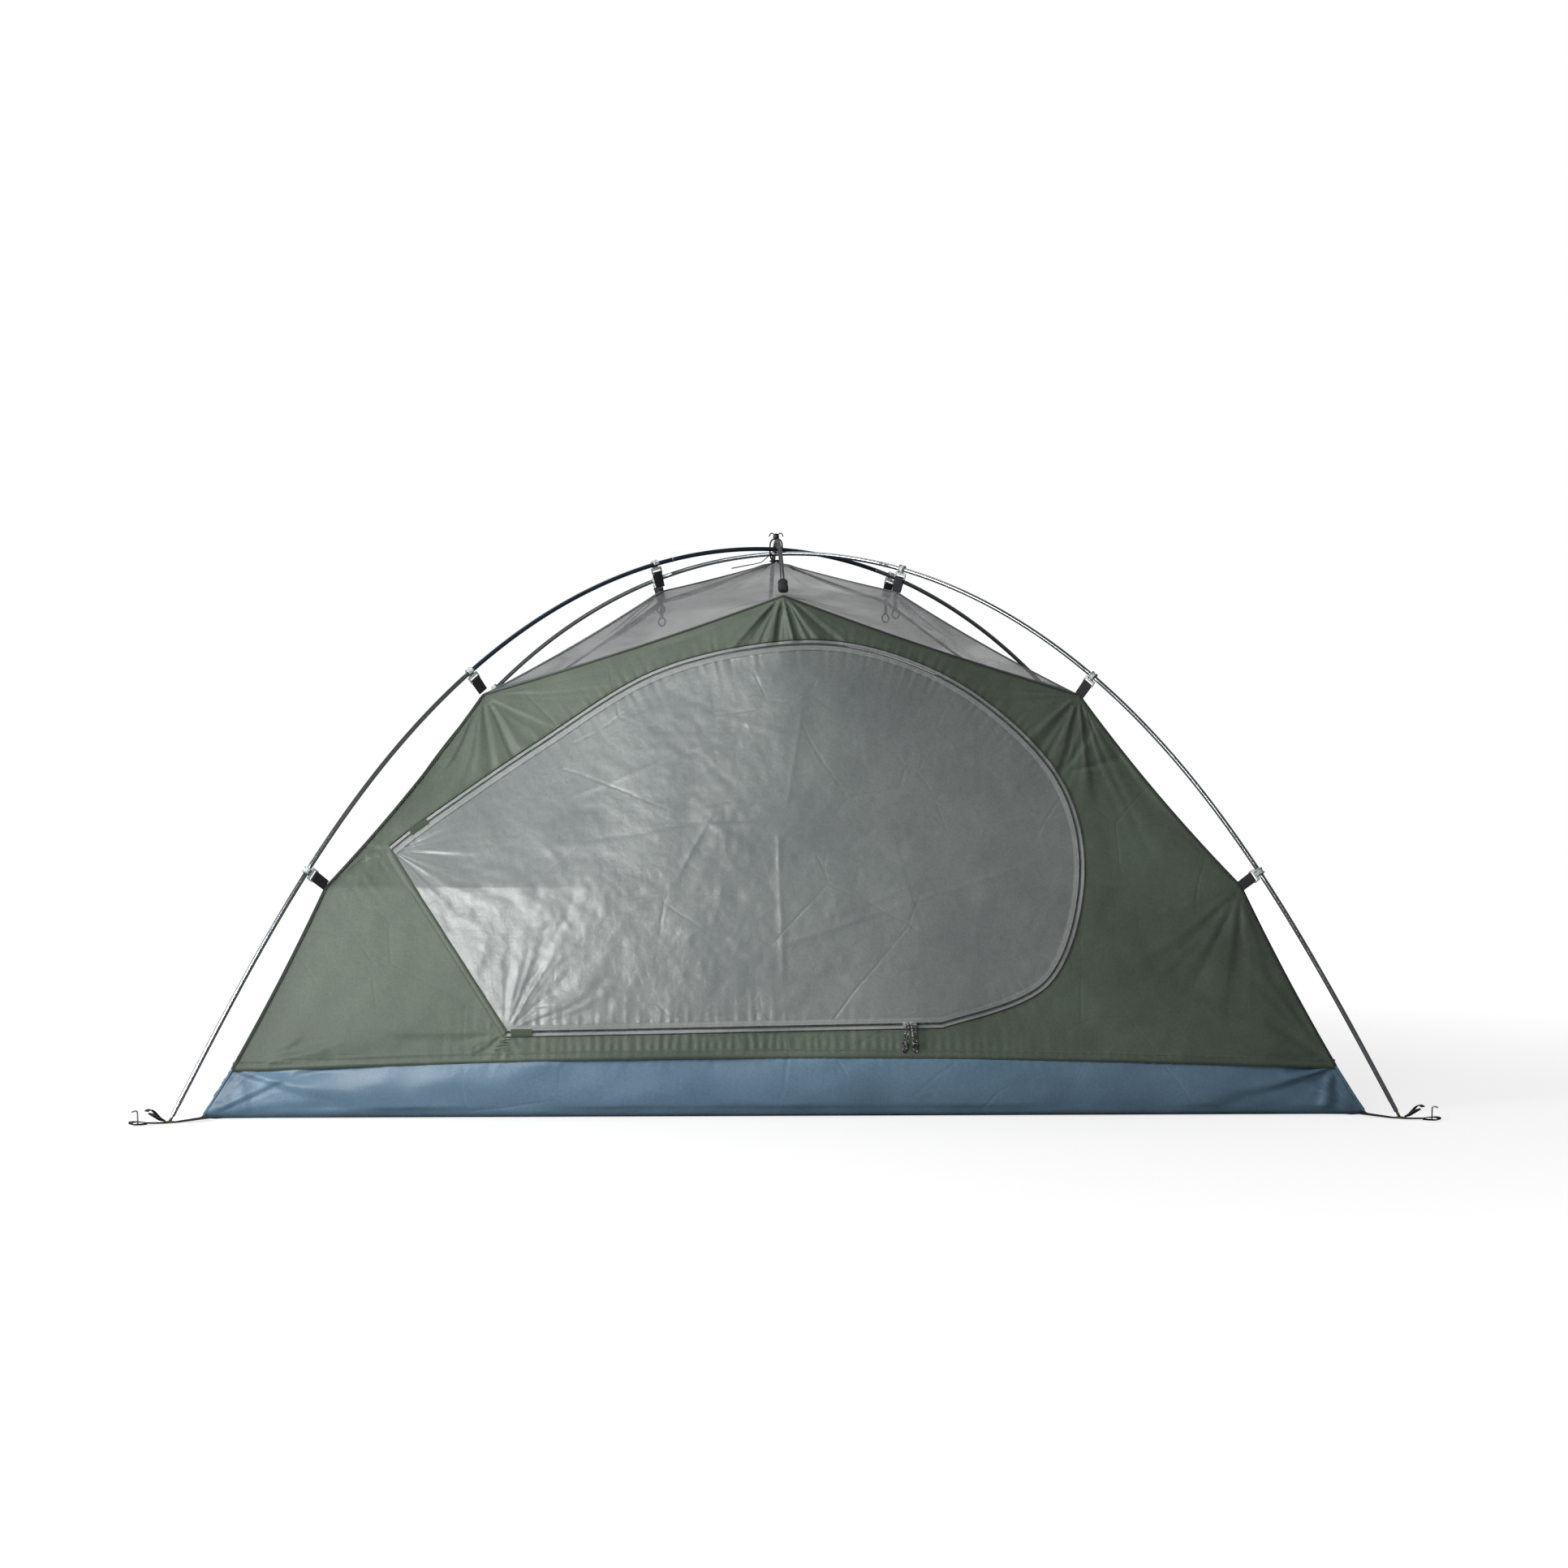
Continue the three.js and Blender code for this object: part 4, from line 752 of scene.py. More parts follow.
def front_ripple(x, z):
    """How far the front's cloth stands off its smooth shape."""
    gap, place = from_zip(x, z)
    edge = front_edge(z)
    brow_gap = (np.interp(np.abs(x), BROW[::-1, 0], BROW[::-1, 2]) - z) * 0.95
    hip_gap = np.where(z < MIDDLE[2], (edge[..., 0] - np.abs(x)) * 0.9, brow_gap)
    foot_gap = z - tub_top(x / TUB_CORNER[0])
    held = ease(-0.001, 0.016, np.minimum(hip_gap, foot_gap + 0.004))
    outside = ease(-0.002, 0.006, gap)
    wall = fan(x, z, (0, 0.962), (0, -1), 1.25, 0.2, 13.0, 0.0042, 3)
    for side in (-1, 1):
        lower, middle = (HIP_CORNERS[k][[0, 2]] * [side, 1] for k in (1, 2))
        wall += fan(x, z, lower, (-side * 0.35, -1), 0.75, 0.19, 17.0, 0.0022, 8 + side)
        wall += fan(x, z, lower, (-side * 0.55, 1), 0.6, 0.16, 17.0, 0.0018, 14 + side)
        wall += fan(x, z, middle, (-side * 0.2, -1), 0.9, 0.22, 14.0, 0.0030, 21 + side)
        wall += fan(x, z, middle, (-side * 1.0, 0.3), 0.35, 0.26, 26.0, 0.0016, 24 + side)
        wall += fan(x, z, (side * 1.0, 0.088), (-side, 0.55), 0.7, 0.26, 15.0, 0.0026, 31 + side)
    wall += fan(x, z, HINGE_TOP, (-0.55, 0.25), 1.0, 0.1, 12.0, 0.0020, 41)
    wall += fan(x, z, HINGE_FOOT, (-0.1, -1), 1.3, 0.09, 10.0, 0.0020, 44)
    wall += fan(x, z, (0.52, 0.62), (1, 0.5), 0.8, 0.24, 11.0, 0.0020, 46)
    wall += 0.0032 * cloudy(x * 5 + 3, z * 7 + 1, 51) + 0.0014 * cloudy(x * 14, z * 17, 52)
    wall += 0.0006 * cloudy(x * 46, z * 40, 55)
    hem = np.sin(x * 2 * math.pi / 0.017 + 2.2 * cloudy(x * 30, x * 0, 57))
    wall += 0.0007 * hem * np.exp(-np.abs(foot_gap - 0.018) / 0.012)
    door = 0.0045 * cloudy(x * 3.1 + 9, z * 3.7 + 2, 61) + 0.0011 * cloudy(x * 12, z * 10, 62)
    door += 0.0005 * cloudy(x * 33, z * 45, 63) + 0.00025 * cloudy(x * 90, z * 90, 64)
    door += fan(x, z, HINGE_FOOT, (0.7, 0.8), 0.8, 0.16, 14.0, 0.0009, 66)
    door += fan(x, z, HINGE_TOP, (1, -0.1), 0.7, 0.13, 14.0, 0.0009, 69)
    door += creases(x, z, DOOR_FOLDS) * ease(0.02, 0.06, -gap)
    top = ease(0.5, 0.85, z)
    gathers = np.sin(place * 2 * math.pi / 0.0215 + 3.2 * cloudy(place * 21, place * 0, 71))
    gathers += 0.6 * np.sin(place * 2 * math.pi / 0.0125 + 2.5 * cloudy(place * 33, place * 0, 72))
    reach = 0.009 + 0.011 * (1 + cloudy(place * 11, place * 0, 73))
    amount = 0.0005 + 0.0003 * top + 0.0004 * cloudy(place * 7, place * 0, 74)
    pucker = amount * gathers * np.exp(-np.abs(gap) / reach) * ease(0.002, 0.009, np.abs(gap))
    seam = 0.35 + 0.65 * ease(0.0, 0.014, np.abs(gap))
    hinge_gap = (x - HINGE_TOP[0]) * HINGE_OUT[0] + (z - HINGE_TOP[1]) * HINGE_OUT[1]
    calm = 0.3 + 0.7 * ease(0.0, 0.02, np.abs(hinge_gap))
    return held * (lerp(door, wall, outside) * seam * calm + pucker)


def front_skin(line, lift):
    """Points of the front's cloth over x and z pairs, standing off it by lift."""
    line = np.asarray(line, float)
    x, z = line[..., 0], line[..., 1]
    depth = wall_depth(x, z) + front_ripple(x, z) + lift
    return np.stack([x, -depth, z], -1)


# ---- front and rear: wall, door and zip ---------------------------------------------

WALL_CENTRE = np.array([-0.02, 0.45])


def wall_outline():
    """The wall's outer edge: foot, hips and brow, with the places of its corners."""
    across = np.linspace(-1, 1, 500)
    foot = np.stack([across * TUB_CORNER[0], tub_top(across) - CLOTH_TUCK], -1)
    heights = np.linspace(TUB_CORNER[2], MIDDLE[2], 400)[1:]
    right = np.stack([hip_at_height(heights)[:, 0], heights], -1)
    brow = brow_at(np.linspace(0, 1, 300)[1:])[:, [0, 2]]
    half = np.concatenate([right, brow])
    left = half[::-1][1:] * [-1, 1]
    corners = [foot[0], foot[-1], MIDDLE[[0, 2]], MIDDLE[[0, 2]] * [-1, 1], PEAK[[0, 2]]]
    corners += [HIP_CORNERS[1][[0, 2]] * [s, 1] for s in (-1, 1)]
    return np.concatenate([foot, half, left]), corners


def radius_by_angle(outline, angles):
    """How far an outline lies from the wall's middle at each angle."""
    reach = outline - WALL_CENTRE
    angle = np.arctan2(reach[:, 1], reach[:, 0])
    order = np.argsort(angle)
    return np.interp(angles, angle[order], np.hypot(*reach.T)[order], period=2 * math.pi)


def wall_rows():
    """Rings of x and z pairs from the zip out to the wall's edge."""
    outer, corners = wall_outline()
    inner = np.concatenate([
        ZIP_LINE + ZIP_OUT * 0.0085,
        (HINGE_LINE + HINGE_OUT * 0.0006)[1:-1],
    ])
    angles = np.linspace(-math.pi, math.pi, 1000, endpoint=False)
    for corner in corners:
        angle = math.atan2(*(corner - WALL_CENTRE)[::-1])
        angles[np.argmin(np.abs(angles - angle))] = angle
    near, far = radius_by_angle(inner, angles), radius_by_angle(outer, angles)
    heading = np.stack([np.cos(angles), np.sin(angles)], -1)
    share = np.linspace(0, 1, 58)[:, None]
    reach = lerp(near[None], far[None], share)
    return WALL_CENTRE + reach[..., None] * heading[None]


def door_rows():
    """Rows of x and z pairs that fill the door from foot to top."""
    right = int(np.argmax(ZIP_LINE[:, 0]))
    low = np.concatenate([HINGE_LINE[:-1], ZIP_LINE[:right + 1]])
    high = ZIP_LINE[right:][::-1]
    x = np.linspace(HINGE_TOP[0], ZIP_LINE[right, 0], 384)
    bottom, top = np.interp(x, low[:, 0], low[:, 1]), np.interp(x, high[:, 0], high[:, 1])
    share = np.linspace(0, 1, 182)[:, None]
    z = lerp(bottom[None], top[None], share)
    return np.stack([np.broadcast_to(x, z.shape), z], -1)


def strip_rows(line, out, offsets, lift):
    """Rows of a narrow strip that runs along a line, at steps out from it."""
    return front_skin(np.stack([line + out * k for k in offsets]), lift)


def repeat_tree():
    """Geometry nodes that set small rounded beads along every line of a mesh."""
    tree = bpy.data.node_groups.new("beads_along_a_line", "GeometryNodeTree")
    tree.interface.new_socket("Line", in_out="INPUT", socket_type="NodeSocketGeometry")
    for name in ("Pitch", "Length", "Width", "Height"):
        tree.interface.new_socket(name, in_out="INPUT", socket_type="NodeSocketFloat")
    tree.interface.new_socket("Facing", in_out="INPUT", socket_type="NodeSocketVector")
    tree.interface.new_socket("Finish", in_out="INPUT", socket_type="NodeSocketMaterial")
    tree.interface.new_socket("Beads", in_out="OUTPUT", socket_type="NodeSocketGeometry")
    given = add(tree, "NodeGroupInput").outputs
    curve = add(tree, "GeometryNodeMeshToCurve", {"Mesh": given["Line"]})
    stepped = add(tree, "GeometryNodeResampleCurve", {"Curve": curve.outputs[0], "Length": given["Pitch"]},
        mode="LENGTH")
    bead = add(tree, "GeometryNodeMeshIcoSphere", {"Radius": 0.5, "Subdivisions": 1})
    size = add(tree, "ShaderNodeCombineXYZ", {"X": given["Width"], "Y": given["Height"],
        "Z": given["Length"]})
    shaped = add(tree, "GeometryNodeTransform", {"Geometry": bead.outputs[0], "Scale": size.outputs[0]})
    along = add(tree, "GeometryNodeInputTangent")
    first = add(tree, "FunctionNodeAlignRotationToVector", {"Vector": along.outputs[0]}, axis="Z")
    second = add(tree, "FunctionNodeAlignRotationToVector", {"Rotation": first.outputs[0],
        "Vector": given["Facing"]}, axis="Y", pivot_axis="Z")
    placed = add(tree, "GeometryNodeInstanceOnPoints", {"Points": stepped.outputs[0],
        "Instance": shaped.outputs[0], "Rotation": second.outputs[0]})
    real = add(tree, "GeometryNodeRealizeInstances", {"Geometry": placed.outputs[0]})
    painted = add(tree, "GeometryNodeSetMaterial", {"Geometry": real.outputs[0],
        "Material": given["Finish"]})
    result = add(tree, "NodeGroupOutput")
    tree.links.new(painted.outputs[0], result.inputs[0])
    return tree


BEADS = repeat_tree()


def beads(name, lines, facing, pitch, size, finish, body="root", turn=False):
    """Stitches or coil turns along lines of points, as one plain mesh."""
    points, edges = [], []
    for line in lines:
        edges += [[len(points) + k, len(points) + k + 1] for k in range(len(line) - 1)]
        points += np.asarray(line).tolist()
    run = bpy.data.meshes.new(name + "_line")
    run.from_pydata(points, edges, [])
    holder = in_scene(name + "_line", run)
    modifier = holder.modifiers.new("beads", "NODES")
    modifier.node_group = BEADS
    keys = {s.name: s.identifier for s in BEADS.interface.items_tree if s.in_out == "INPUT"}
    values = {"Pitch": pitch, "Length": size[0], "Width": size[1], "Height": size[2],
        "Facing": facing, "Finish": FINISH[finish]}
    for key, value in values.items():
        modifier[keys[key]] = value
    ready = holder.evaluated_get(bpy.context.evaluated_depsgraph_get())
    mesh = bpy.data.meshes.new_from_object(ready)
    mesh.name = name
    holder.modifiers.remove(modifier)
    bpy.data.objects.remove(holder)
    if turn:
        mesh.transform(Matrix.Rotation(math.pi, 4, "Z"))
    return shown(name, mesh, FINISH[finish], body, ())


STITCH = (0.0026, 0.0007, 0.0006)
STITCH_PITCH = 0.0042
COIL_TURN = (0.0013, 0.0030, 0.0014)
COIL_PITCH = 0.0021
FRONT_FACING = (0.0, -1.0, 0.0)


def build_fronts():
    wall = grid(front_skin(wall_rows(), SEWN_LIFT), closed_across=True)
    door = grid(front_skin(door_rows(), -0.0004))
    outer = grid(strip_rows(ZIP_LINE, ZIP_OUT, TAPE_STEPS, 0.0005))
    inner = grid(strip_rows(ZIP_LINE, -ZIP_OUT, TAPE_STEPS, 0.0008))
    hem_x = np.linspace(-1, 1, 640)
    hem_z = [tub_top(hem_x) + k for k in (-0.0055, -0.005, 0.001, 0.008, 0.0115, 0.012)]
    hem_lift = np.array([0.0008, 0.0022, 0.0024, 0.0024, 0.0022, 0.0008])[:, None]
    hem_line = np.stack([np.stack([hem_x * TUB_CORNER[0], z], -1) for z in hem_z])
    hem = grid(front_skin(hem_line, hem_lift))
    band_lift = np.array([0.0008, 0.0022, 0.0026, 0.0022, 0.0008])[:, None]
    band = grid(strip_rows(HINGE_LINE, HINGE_OUT, (-0.0022, -0.0016, 0.004, 0.0105, 0.0115), band_lift))
    fold = front_skin(ZIP_LINE + ZIP_OUT * 0.0088, 0.0016)
    lip = swept(fold, round_section(0.0012, 6))
    brow = brow_at(np.linspace(0, 1, 90))
    brow = np.concatenate([brow, (brow * [-1, 1, 1])[::-1][1:]]) * [1, -1, 1]
    piping = swept(brow + [0, -0.001, 0.0005], round_section(0.0021, 8))
    ends = []
    for at, heading in ((ZIP_LINE[4], ZIP_ALONG[4]), (ZIP_LINE[-14], ZIP_ALONG[-14])):
        out = np.array([heading[1], -heading[0]])
        line = at + np.outer(np.linspace(-0.014, 0.024, 9), heading) + out * 0.0015
        ends.append(swept(front_skin(line, 0.0034), strap_section(0.013, 0.0016),
            np.tile([out[0], 0, out[1]], (9, 1)), np.tile([0, -1, 0], (9, 1))))
    for side, turn in SIDES.items():
        put = turned if turn else (lambda part: part)
        door_body = f"{side}_door_body"
        main = piece(f"{side}_wall_cloth", [put(wall)], "green",
            replaces=(f"{side}_wall",), skin=True)
        leaf = piece(f"{side}_door_cloth", [put(door)], "door", door_body,
            (f"{side}_door",), skin=True)
        trims = [
            piece(f"{side}_foot_hem", [put(hem)], "green", skin=True),
            piece(f"{side}_hinge_band", [put(band)], "green", skin=True),
            piece(f"{side}_zip_fold", [put(lip)], "piping"),
            piece(f"{side}_brow_piping", [put(piping)], "piping"),
            piece(f"{side}_zip_end_tabs", [put(part) for part in ends], "tab"),
            piece(f"{side}_outer_zip_tape", [put(outer)], "tape",
                replaces=(f"{side}_zip_tape",), skin=True),
        ]
        leaf_tape = piece(f"{side}_inner_zip_tape", [put(inner)], "tape", door_body, skin=True)
        seam_lines = [front_skin(ZIP_LINE + ZIP_OUT * 0.0125, 0.0016)]
        seam_lines += [front_skin(HINGE_LINE + HINGE_OUT * k, 0.0029) for k in (0.001, 0.009)]
        hem_lines = [np.stack([hem_x * TUB_CORNER[0], tub_top(hem_x) + k], -1) for k in (-0.0025, 0.0085)]
        seam_lines += [front_skin(line, 0.0027) for line in hem_lines]
        trims.append(beads(f"{side}_green_stitches", seam_lines, FRONT_FACING, STITCH_PITCH, STITCH,
            "green_thread", turn=turn))
        tape_lines = [front_skin(ZIP_LINE - ZIP_OUT * k, 0.0012) for k in (0.006, 0.0102)]
        leaf_stitches = beads(f"{side}_door_stitches", tape_lines, FRONT_FACING, STITCH_PITCH, STITCH,
            "grey_thread", door_body, turn)
        outer_coil = beads(f"{side}_outer_coil", [front_skin(ZIP_LINE + ZIP_OUT * 0.0014, 0.0014)],
            FRONT_FACING, COIL_PITCH, COIL_TURN, "coil", turn=turn)
        inner_coil = beads(f"{side}_inner_coil", [front_skin(ZIP_LINE - ZIP_OUT * 0.0014, 0.0014)],
            FRONT_FACING, COIL_PITCH, COIL_TURN, "coil", door_body, turn)


build_fronts()

# ---- ends, roof and hip seams -------------------------------------------------------


def sill_station(across):
    """The hip station of the window sill, lower in the middle."""
    drop = 0.012 + 0.026 * (1 - across ** 2)
    return 2 - drop / (MIDDLE[2] - HIP_CORNERS[1][2])


def end_ripple(across, t):
    """How far an end's cloth stands off, in the plane of its width and its rise."""
    hip = hip_at(t)
    u, v = across * hip[..., 1], t * 0.42
    held = ease(0, 0.03, (1 - np.abs(across)) * hip[..., 1])
    total = 0.004 * cloudy(u * 4 + 2, v * 5, 81) + 0.0013 * cloudy(u * 13, v * 15, 82)
    for side in (-1, 1):
        total += fan(u, v, (side * HIP_CORNERS[1][1], 0.42), (-side, -0.4), 0.9, 0.2, 13.0, 0.0024, 84 + side)
        total += fan(u, v, (side * MIDDLE[1], 0.84), (-side, -0.7), 0.9, 0.24, 13.0, 0.003, 88 + side)
        total += fan(u, v, (side * 0.655, 0.0), (-side, 0.7), 0.8, 0.26, 13.0, 0.0026, 92 + side)
    return held * total


def end_skin(across, t, lift=0.0, sag=0.0):
    """Points of the right-hand end between its two hips."""
    across, t = np.broadcast_arrays(across, t)
    hip = hip_at(t)
    slope = unit(np.stack([np.gradient(HIP[:, 0], HIP_T), np.gradient(HIP[:, 2], HIP_T)], -1))
    out_x = np.interp(t, HIP_T, slope[:, 1])
    out_z = -np.interp(t, HIP_T, slope[:, 0])
    off = lift - sag * (1 - across ** 2)
    return np.stack([hip[..., 0] + out_x * off, across * hip[..., 1], hip[..., 2] + out_z * off], -1)


def build_ends():
    across = np.linspace(-1, 1, 170)[None]
    share = np.linspace(0, 1, 130)[:, None]
    foot = (tub_top(across) - CLOTH_TUCK - TUB_CORNER[2]) / (HIP_CORNERS[1][2] - TUB_CORNER[2])
    t = lerp(foot, sill_station(across), share)
    cloth_end = grid(end_skin(across, t, 0.0012 + end_ripple(across, t), 0.006 * np.sin(math.pi * share)))
    hem_t = [foot + k for k in (-0.004, 0.0, 0.02, 0.045, 0.049)]
    hem_off = np.array([0.0012, 0.0024, 0.0028, 0.0024, 0.0012])[:, None]
    hem = grid(end_skin(across, np.concatenate(hem_t), hem_off))
    sill = np.concatenate([sill_station(across) + k for k in (-0.012, -0.01, 0.018, 0.02)])
    band = grid(end_skin(across, sill, np.array([0.0016, 0.003, 0.003, 0.0016])[:, None]))
    lines = [end_skin(across[0], sill_station(across[0]) + k, 0.0036) for k in (-0.006, 0.014)]
    lines.append(end_skin(across[0], foot[0] + 0.012, 0.0034))
    for side, turn in (("right", False), ("left", True)):
        put = turned if turn else (lambda part: part)
        main = piece(f"{side}_end_cloth", [put(cloth_end)], "end_green",
            replaces=(f"{side}_end_panel",), skin=True)
        trims = [
            piece(f"{side}_end_hem", [put(hem)], "end_green", skin=True),
            piece(f"{side}_window_sill_band", [put(band)], "band", skin=True),
            beads(f"{side}_end_stitches", lines, (1.0, 0.0, 0.4), STITCH_PITCH, STITCH, "green_thread",
                turn=turn),
        ]


def roof_ripple(u, v, seed):
    """How far the roof netting stands off between its seams."""
    return 0.004 * cloudy(u * 5, v * 5, seed) + 0.0016 * cloudy(u * 15, v * 13, seed + 1)


def roof_front(share, t, lift):
    """The roof over the front door: from the line below the ridge pole out to the hips."""
    share, t = np.broadcast_arrays(share, t)
    middle = lerp(PEAK, APEX, ((t - 2) / 2)[..., None])
    hip = hip_at(t)
    across = np.abs(share)
    edge = brow_at(1 - across)
    start = ease(2.5, 2.0, t)[..., None]
    ruled = np.stack([np.sign(share) * hip[..., 0] * across, lerp(middle[..., 1], hip[..., 1], across),
        lerp(middle[..., 2], hip[..., 2], across)], -1)
    sagged = (edge - lerp(PEAK, MIDDLE, across[..., None])) * start
    slack = -0.012 * np.sin(math.pi * across) * np.sin(math.pi * np.clip((t - 2) / 2, 0, 1)) + lift
    ruled[..., 2] += sagged[..., 2] + slack
    return ruled * [1, -1, 1]


def build_roof():
    across = np.linspace(-1, 1, 150)[None]
    share = np.linspace(0, 1, 96)[:, None]
    t = lerp(sill_station(across), ROOF_END, share)
    fade = ease(0, 0.12, 1 - np.abs(across)) * ease(0, 0.08, share) * ease(0, 0.05, 1 - share)
    hip = hip_at(t)
    ripple = roof_ripple(across * hip[..., 1], t * 0.4, 101)
    for side in (-1, 1):
        ripple += fan(across * hip[..., 1], t * 0.4, (side * HIP_CORNERS[3][1], 1.2), (-side, -0.5), 1.0, 0.2,
            11.0, 0.0032, 105 + side)
        ripple += fan(across * hip[..., 1], t * 0.4, (side * MIDDLE[1], 0.8), (-side, 0.6), 0.8, 0.2,
            11.0, 0.0028, 108 + side)
    slack = 0.014 * np.sin(math.pi * share)
    end = grid(end_skin(across, t, ripple * fade, slack))
    wide = np.linspace(-1, 1, 170)[None]
    rise = 2.0 + np.linspace(0, 1, 96)[:, None] * 1.985
    middle = lerp(PEAK, APEX, ((rise - 2) / 2)[..., None])
    u, v = wide * hip_at(rise)[..., 0], middle[..., 1] * np.ones_like(wide)
    ripple = roof_ripple(u, v, 121) + fan(u, v, (0.0, 0.0), (0, 1), 1.3, 0.3, 11.0, 0.0038, 125)
    ripple += fan(u, v, (0.0, 0.446), (0, -1), 1.3, 0.22, 9.0, 0.0030, 127)
    for side in (-1, 1):
        ripple += fan(u, v, (side * 0.233, 0.223), (side, 0.6), 0.9, 0.22, 9.0, 0.0034, 128 + side)
    fade = ease(0, 0.1, 1 - np.abs(wide)) * ease(0, 0.12, rise - 2) * ease(0, 0.08, ROOF_END - rise)
    over = grid(roof_front(wide, rise, ripple * fade))
    net = piece("roof_netting", [end, turned(end), over, turned(over)], "netting",
        replaces=("roof_mesh",), skin=True)
    edge = np.array([2.0, 2.006, 2.055, 2.06])[:, None]
    band = grid(roof_front(wide, edge, np.array([0.001, 0.0018, 0.0018, 0.001])[:, None]))
    bands = piece("brow_bands", [band, turned(band)], "band", skin=True)
    seams = []
    for sx, sy in QUARTERS:
        t = np.linspace(2.0, ROOF_END, 90)
        seams.append(swept(hip_at(t) * [sx, sy, 1] + [0, 0, 0.0006], strap_section(0.010, 0.0022),
            *hip_directions(t, sx, sy)))
    taped = piece("roof_hip_tapes", seams, "band")


def hip_directions(t, sx, sy):
    """Across and out of a hip seam, at each station along it."""
    line = hip_at(t) * [sx, sy, 1]
    along = unit(np.gradient(line, axis=0))
    out = unit(line - INSIDE * 0.6)
    out = unit(out - along * (out * along).sum(-1, keepdims=True))
    return np.cross(along, out), out


def build_hips():
    parts, lines = [], []
    for sx, sy in QUARTERS:
        t = np.linspace(0.0, 2.02, 120)
        across, out = hip_directions(t, sx, sy)
        line = hip_at(t) * [sx, sy, 1]
        parts.append(swept(line + out * 0.0006, strap_section(0.009, 0.0036), across, out))
        lines += [line + out * 0.0026 + across * k for k in (-0.0028, 0.0028)]
    piece("hip_bindings", parts, "piping")
    beads("hip_stitches", lines, (0.0, 0.0, 1.0), STITCH_PITCH, STITCH, "green_thread")


build_ends()
build_roof()
build_hips()

# ---- bathtub floor ------------------------------------------------------------------


def tub_perimeter():
    """Square-wise places round the tub, -1 to 1 each way."""
    long_side, short_side = np.linspace(-1, 1, 250, endpoint=False), np.linspace(-1, 1, 160, endpoint=False)
    a = np.concatenate([long_side, np.ones(160), -long_side, -np.ones(160)])
    b = np.concatenate([-np.ones(250), short_side, np.ones(250), -short_side])
    return a, b


def build_tub():
    a, b = tub_perimeter()
    on_long = np.abs(b) == 1
    across = np.where(on_long, a, b)
    z_top = tub_top(across)
    hip = hip_at_height(z_top)
    depth = np.where(np.abs(a) == 1, TUB_CORNER[1], wall_depth(a * TUB_CORNER[0], z_top))
    rim = np.stack([a * hip[:, 0], b * depth, z_top], -1)
    base = np.stack([a * TUB_HALF[0], b * TUB_HALF[1], np.zeros_like(a)], -1)
    out = np.where(on_long[:, None], np.stack([0 * a, b, 0 * a], -1), np.stack([a, 0 * b, 0 * a], -1))
    run = np.where(on_long, a * TUB_HALF[0], b * TUB_HALF[1])
    half = np.where(on_long, TUB_HALF[0], TUB_HALF[1])
    face = np.where(on_long, 1 + b, 5 + a) * 3.0
    to_corner = half - np.abs(run)
    rows = []
    for inset, height in ((0.022, 0.0), (0.012, 0.0006), (0.006, 0.0022), (0.002, 0.006), (0.0, 0.011)):
        uneven = 0.5 + 0.5 * cloudy(run * 3.1 + face, face, 131)
        lifted = height + 0.003 * ease(0.0, 0.3, to_corner) * uneven
        rows.append(base * [1, 1, 0] - out * inset + np.stack([0 * a, 0 * a, lifted * (height > 0)], -1))
    side_foot = base + [0, 0, 0.011]
    for step, f in enumerate(np.linspace(0.06, 1, 22)):
        spot = lerp(side_foot if step else rows[-1], rim, f)
        z = spot[:, 2]
        belly = 0.0075 * math.sin(math.pi * f ** 0.8) * ease(0, 0.12, to_corner)
        soft = 0.0042 * cloudy(run * 6 + face, z * 11, 133) + 0.0018 * cloudy(run * 17, z * 30 + face, 134)
        side = np.sign(run + 1e-9)
        drag = fan(to_corner, z, (0.0, 0.09), (1, -0.35), 0.8, 0.24, 12.0, 0.0036, 137) * (1 + 0.3 * side)
        low = fan(to_corner, z, (0.0, 0.0), (1, 0.5), 0.7, 0.2, 11.0, 0.0022, 138)
        gather = 0.0009 * np.sin(run * 2 * math.pi / 0.02 + 3 * cloudy(run * 24, face, 139))
        gather = gather * ease(0.6, 1.0, f)
        hold = ease(0, 0.12, f) * ease(0, 0.1, 1 - f)
        rows.append(spot + out * ((belly + (soft + drag + low) * hold) * ease(0, 0.02, to_corner)
            + gather * hold)[:, None])
    for shrink in (0.93, 0.75, 0.5, 0.25, 0.02):
        flat = base * [shrink, shrink, 0]
        flat[:, 2] = 0.0
        rows.insert(0, flat)
    shell = grid(np.array(rows), closed_across=True)
    shell[1].append(list(range(len(a)))[::-1])
    tub = piece("tub_cloth", [shell], "tub", replaces=("bathtub_floor",),
        skin=True)
    seams, lines = [], []
    for sx, sy in QUARTERS:
        line = np.array([lerp(np.array([*TUB_HALF, 0.004]), TUB_CORNER, f) for f in np.linspace(0, 1, 14)])
        line = line * [sx, sy, 1] + unit(np.array([sx, sy, 0.0])) * 0.0006
        seams.append(swept(line, round_section(0.0024, 8)))
        lines.append(line + unit(np.array([sx, sy, 0.0])) * 0.002)
    corner = piece("tub_corner_seams", seams, "tub")


build_tub()

# ---- clips --------------------------------------------------------------------------


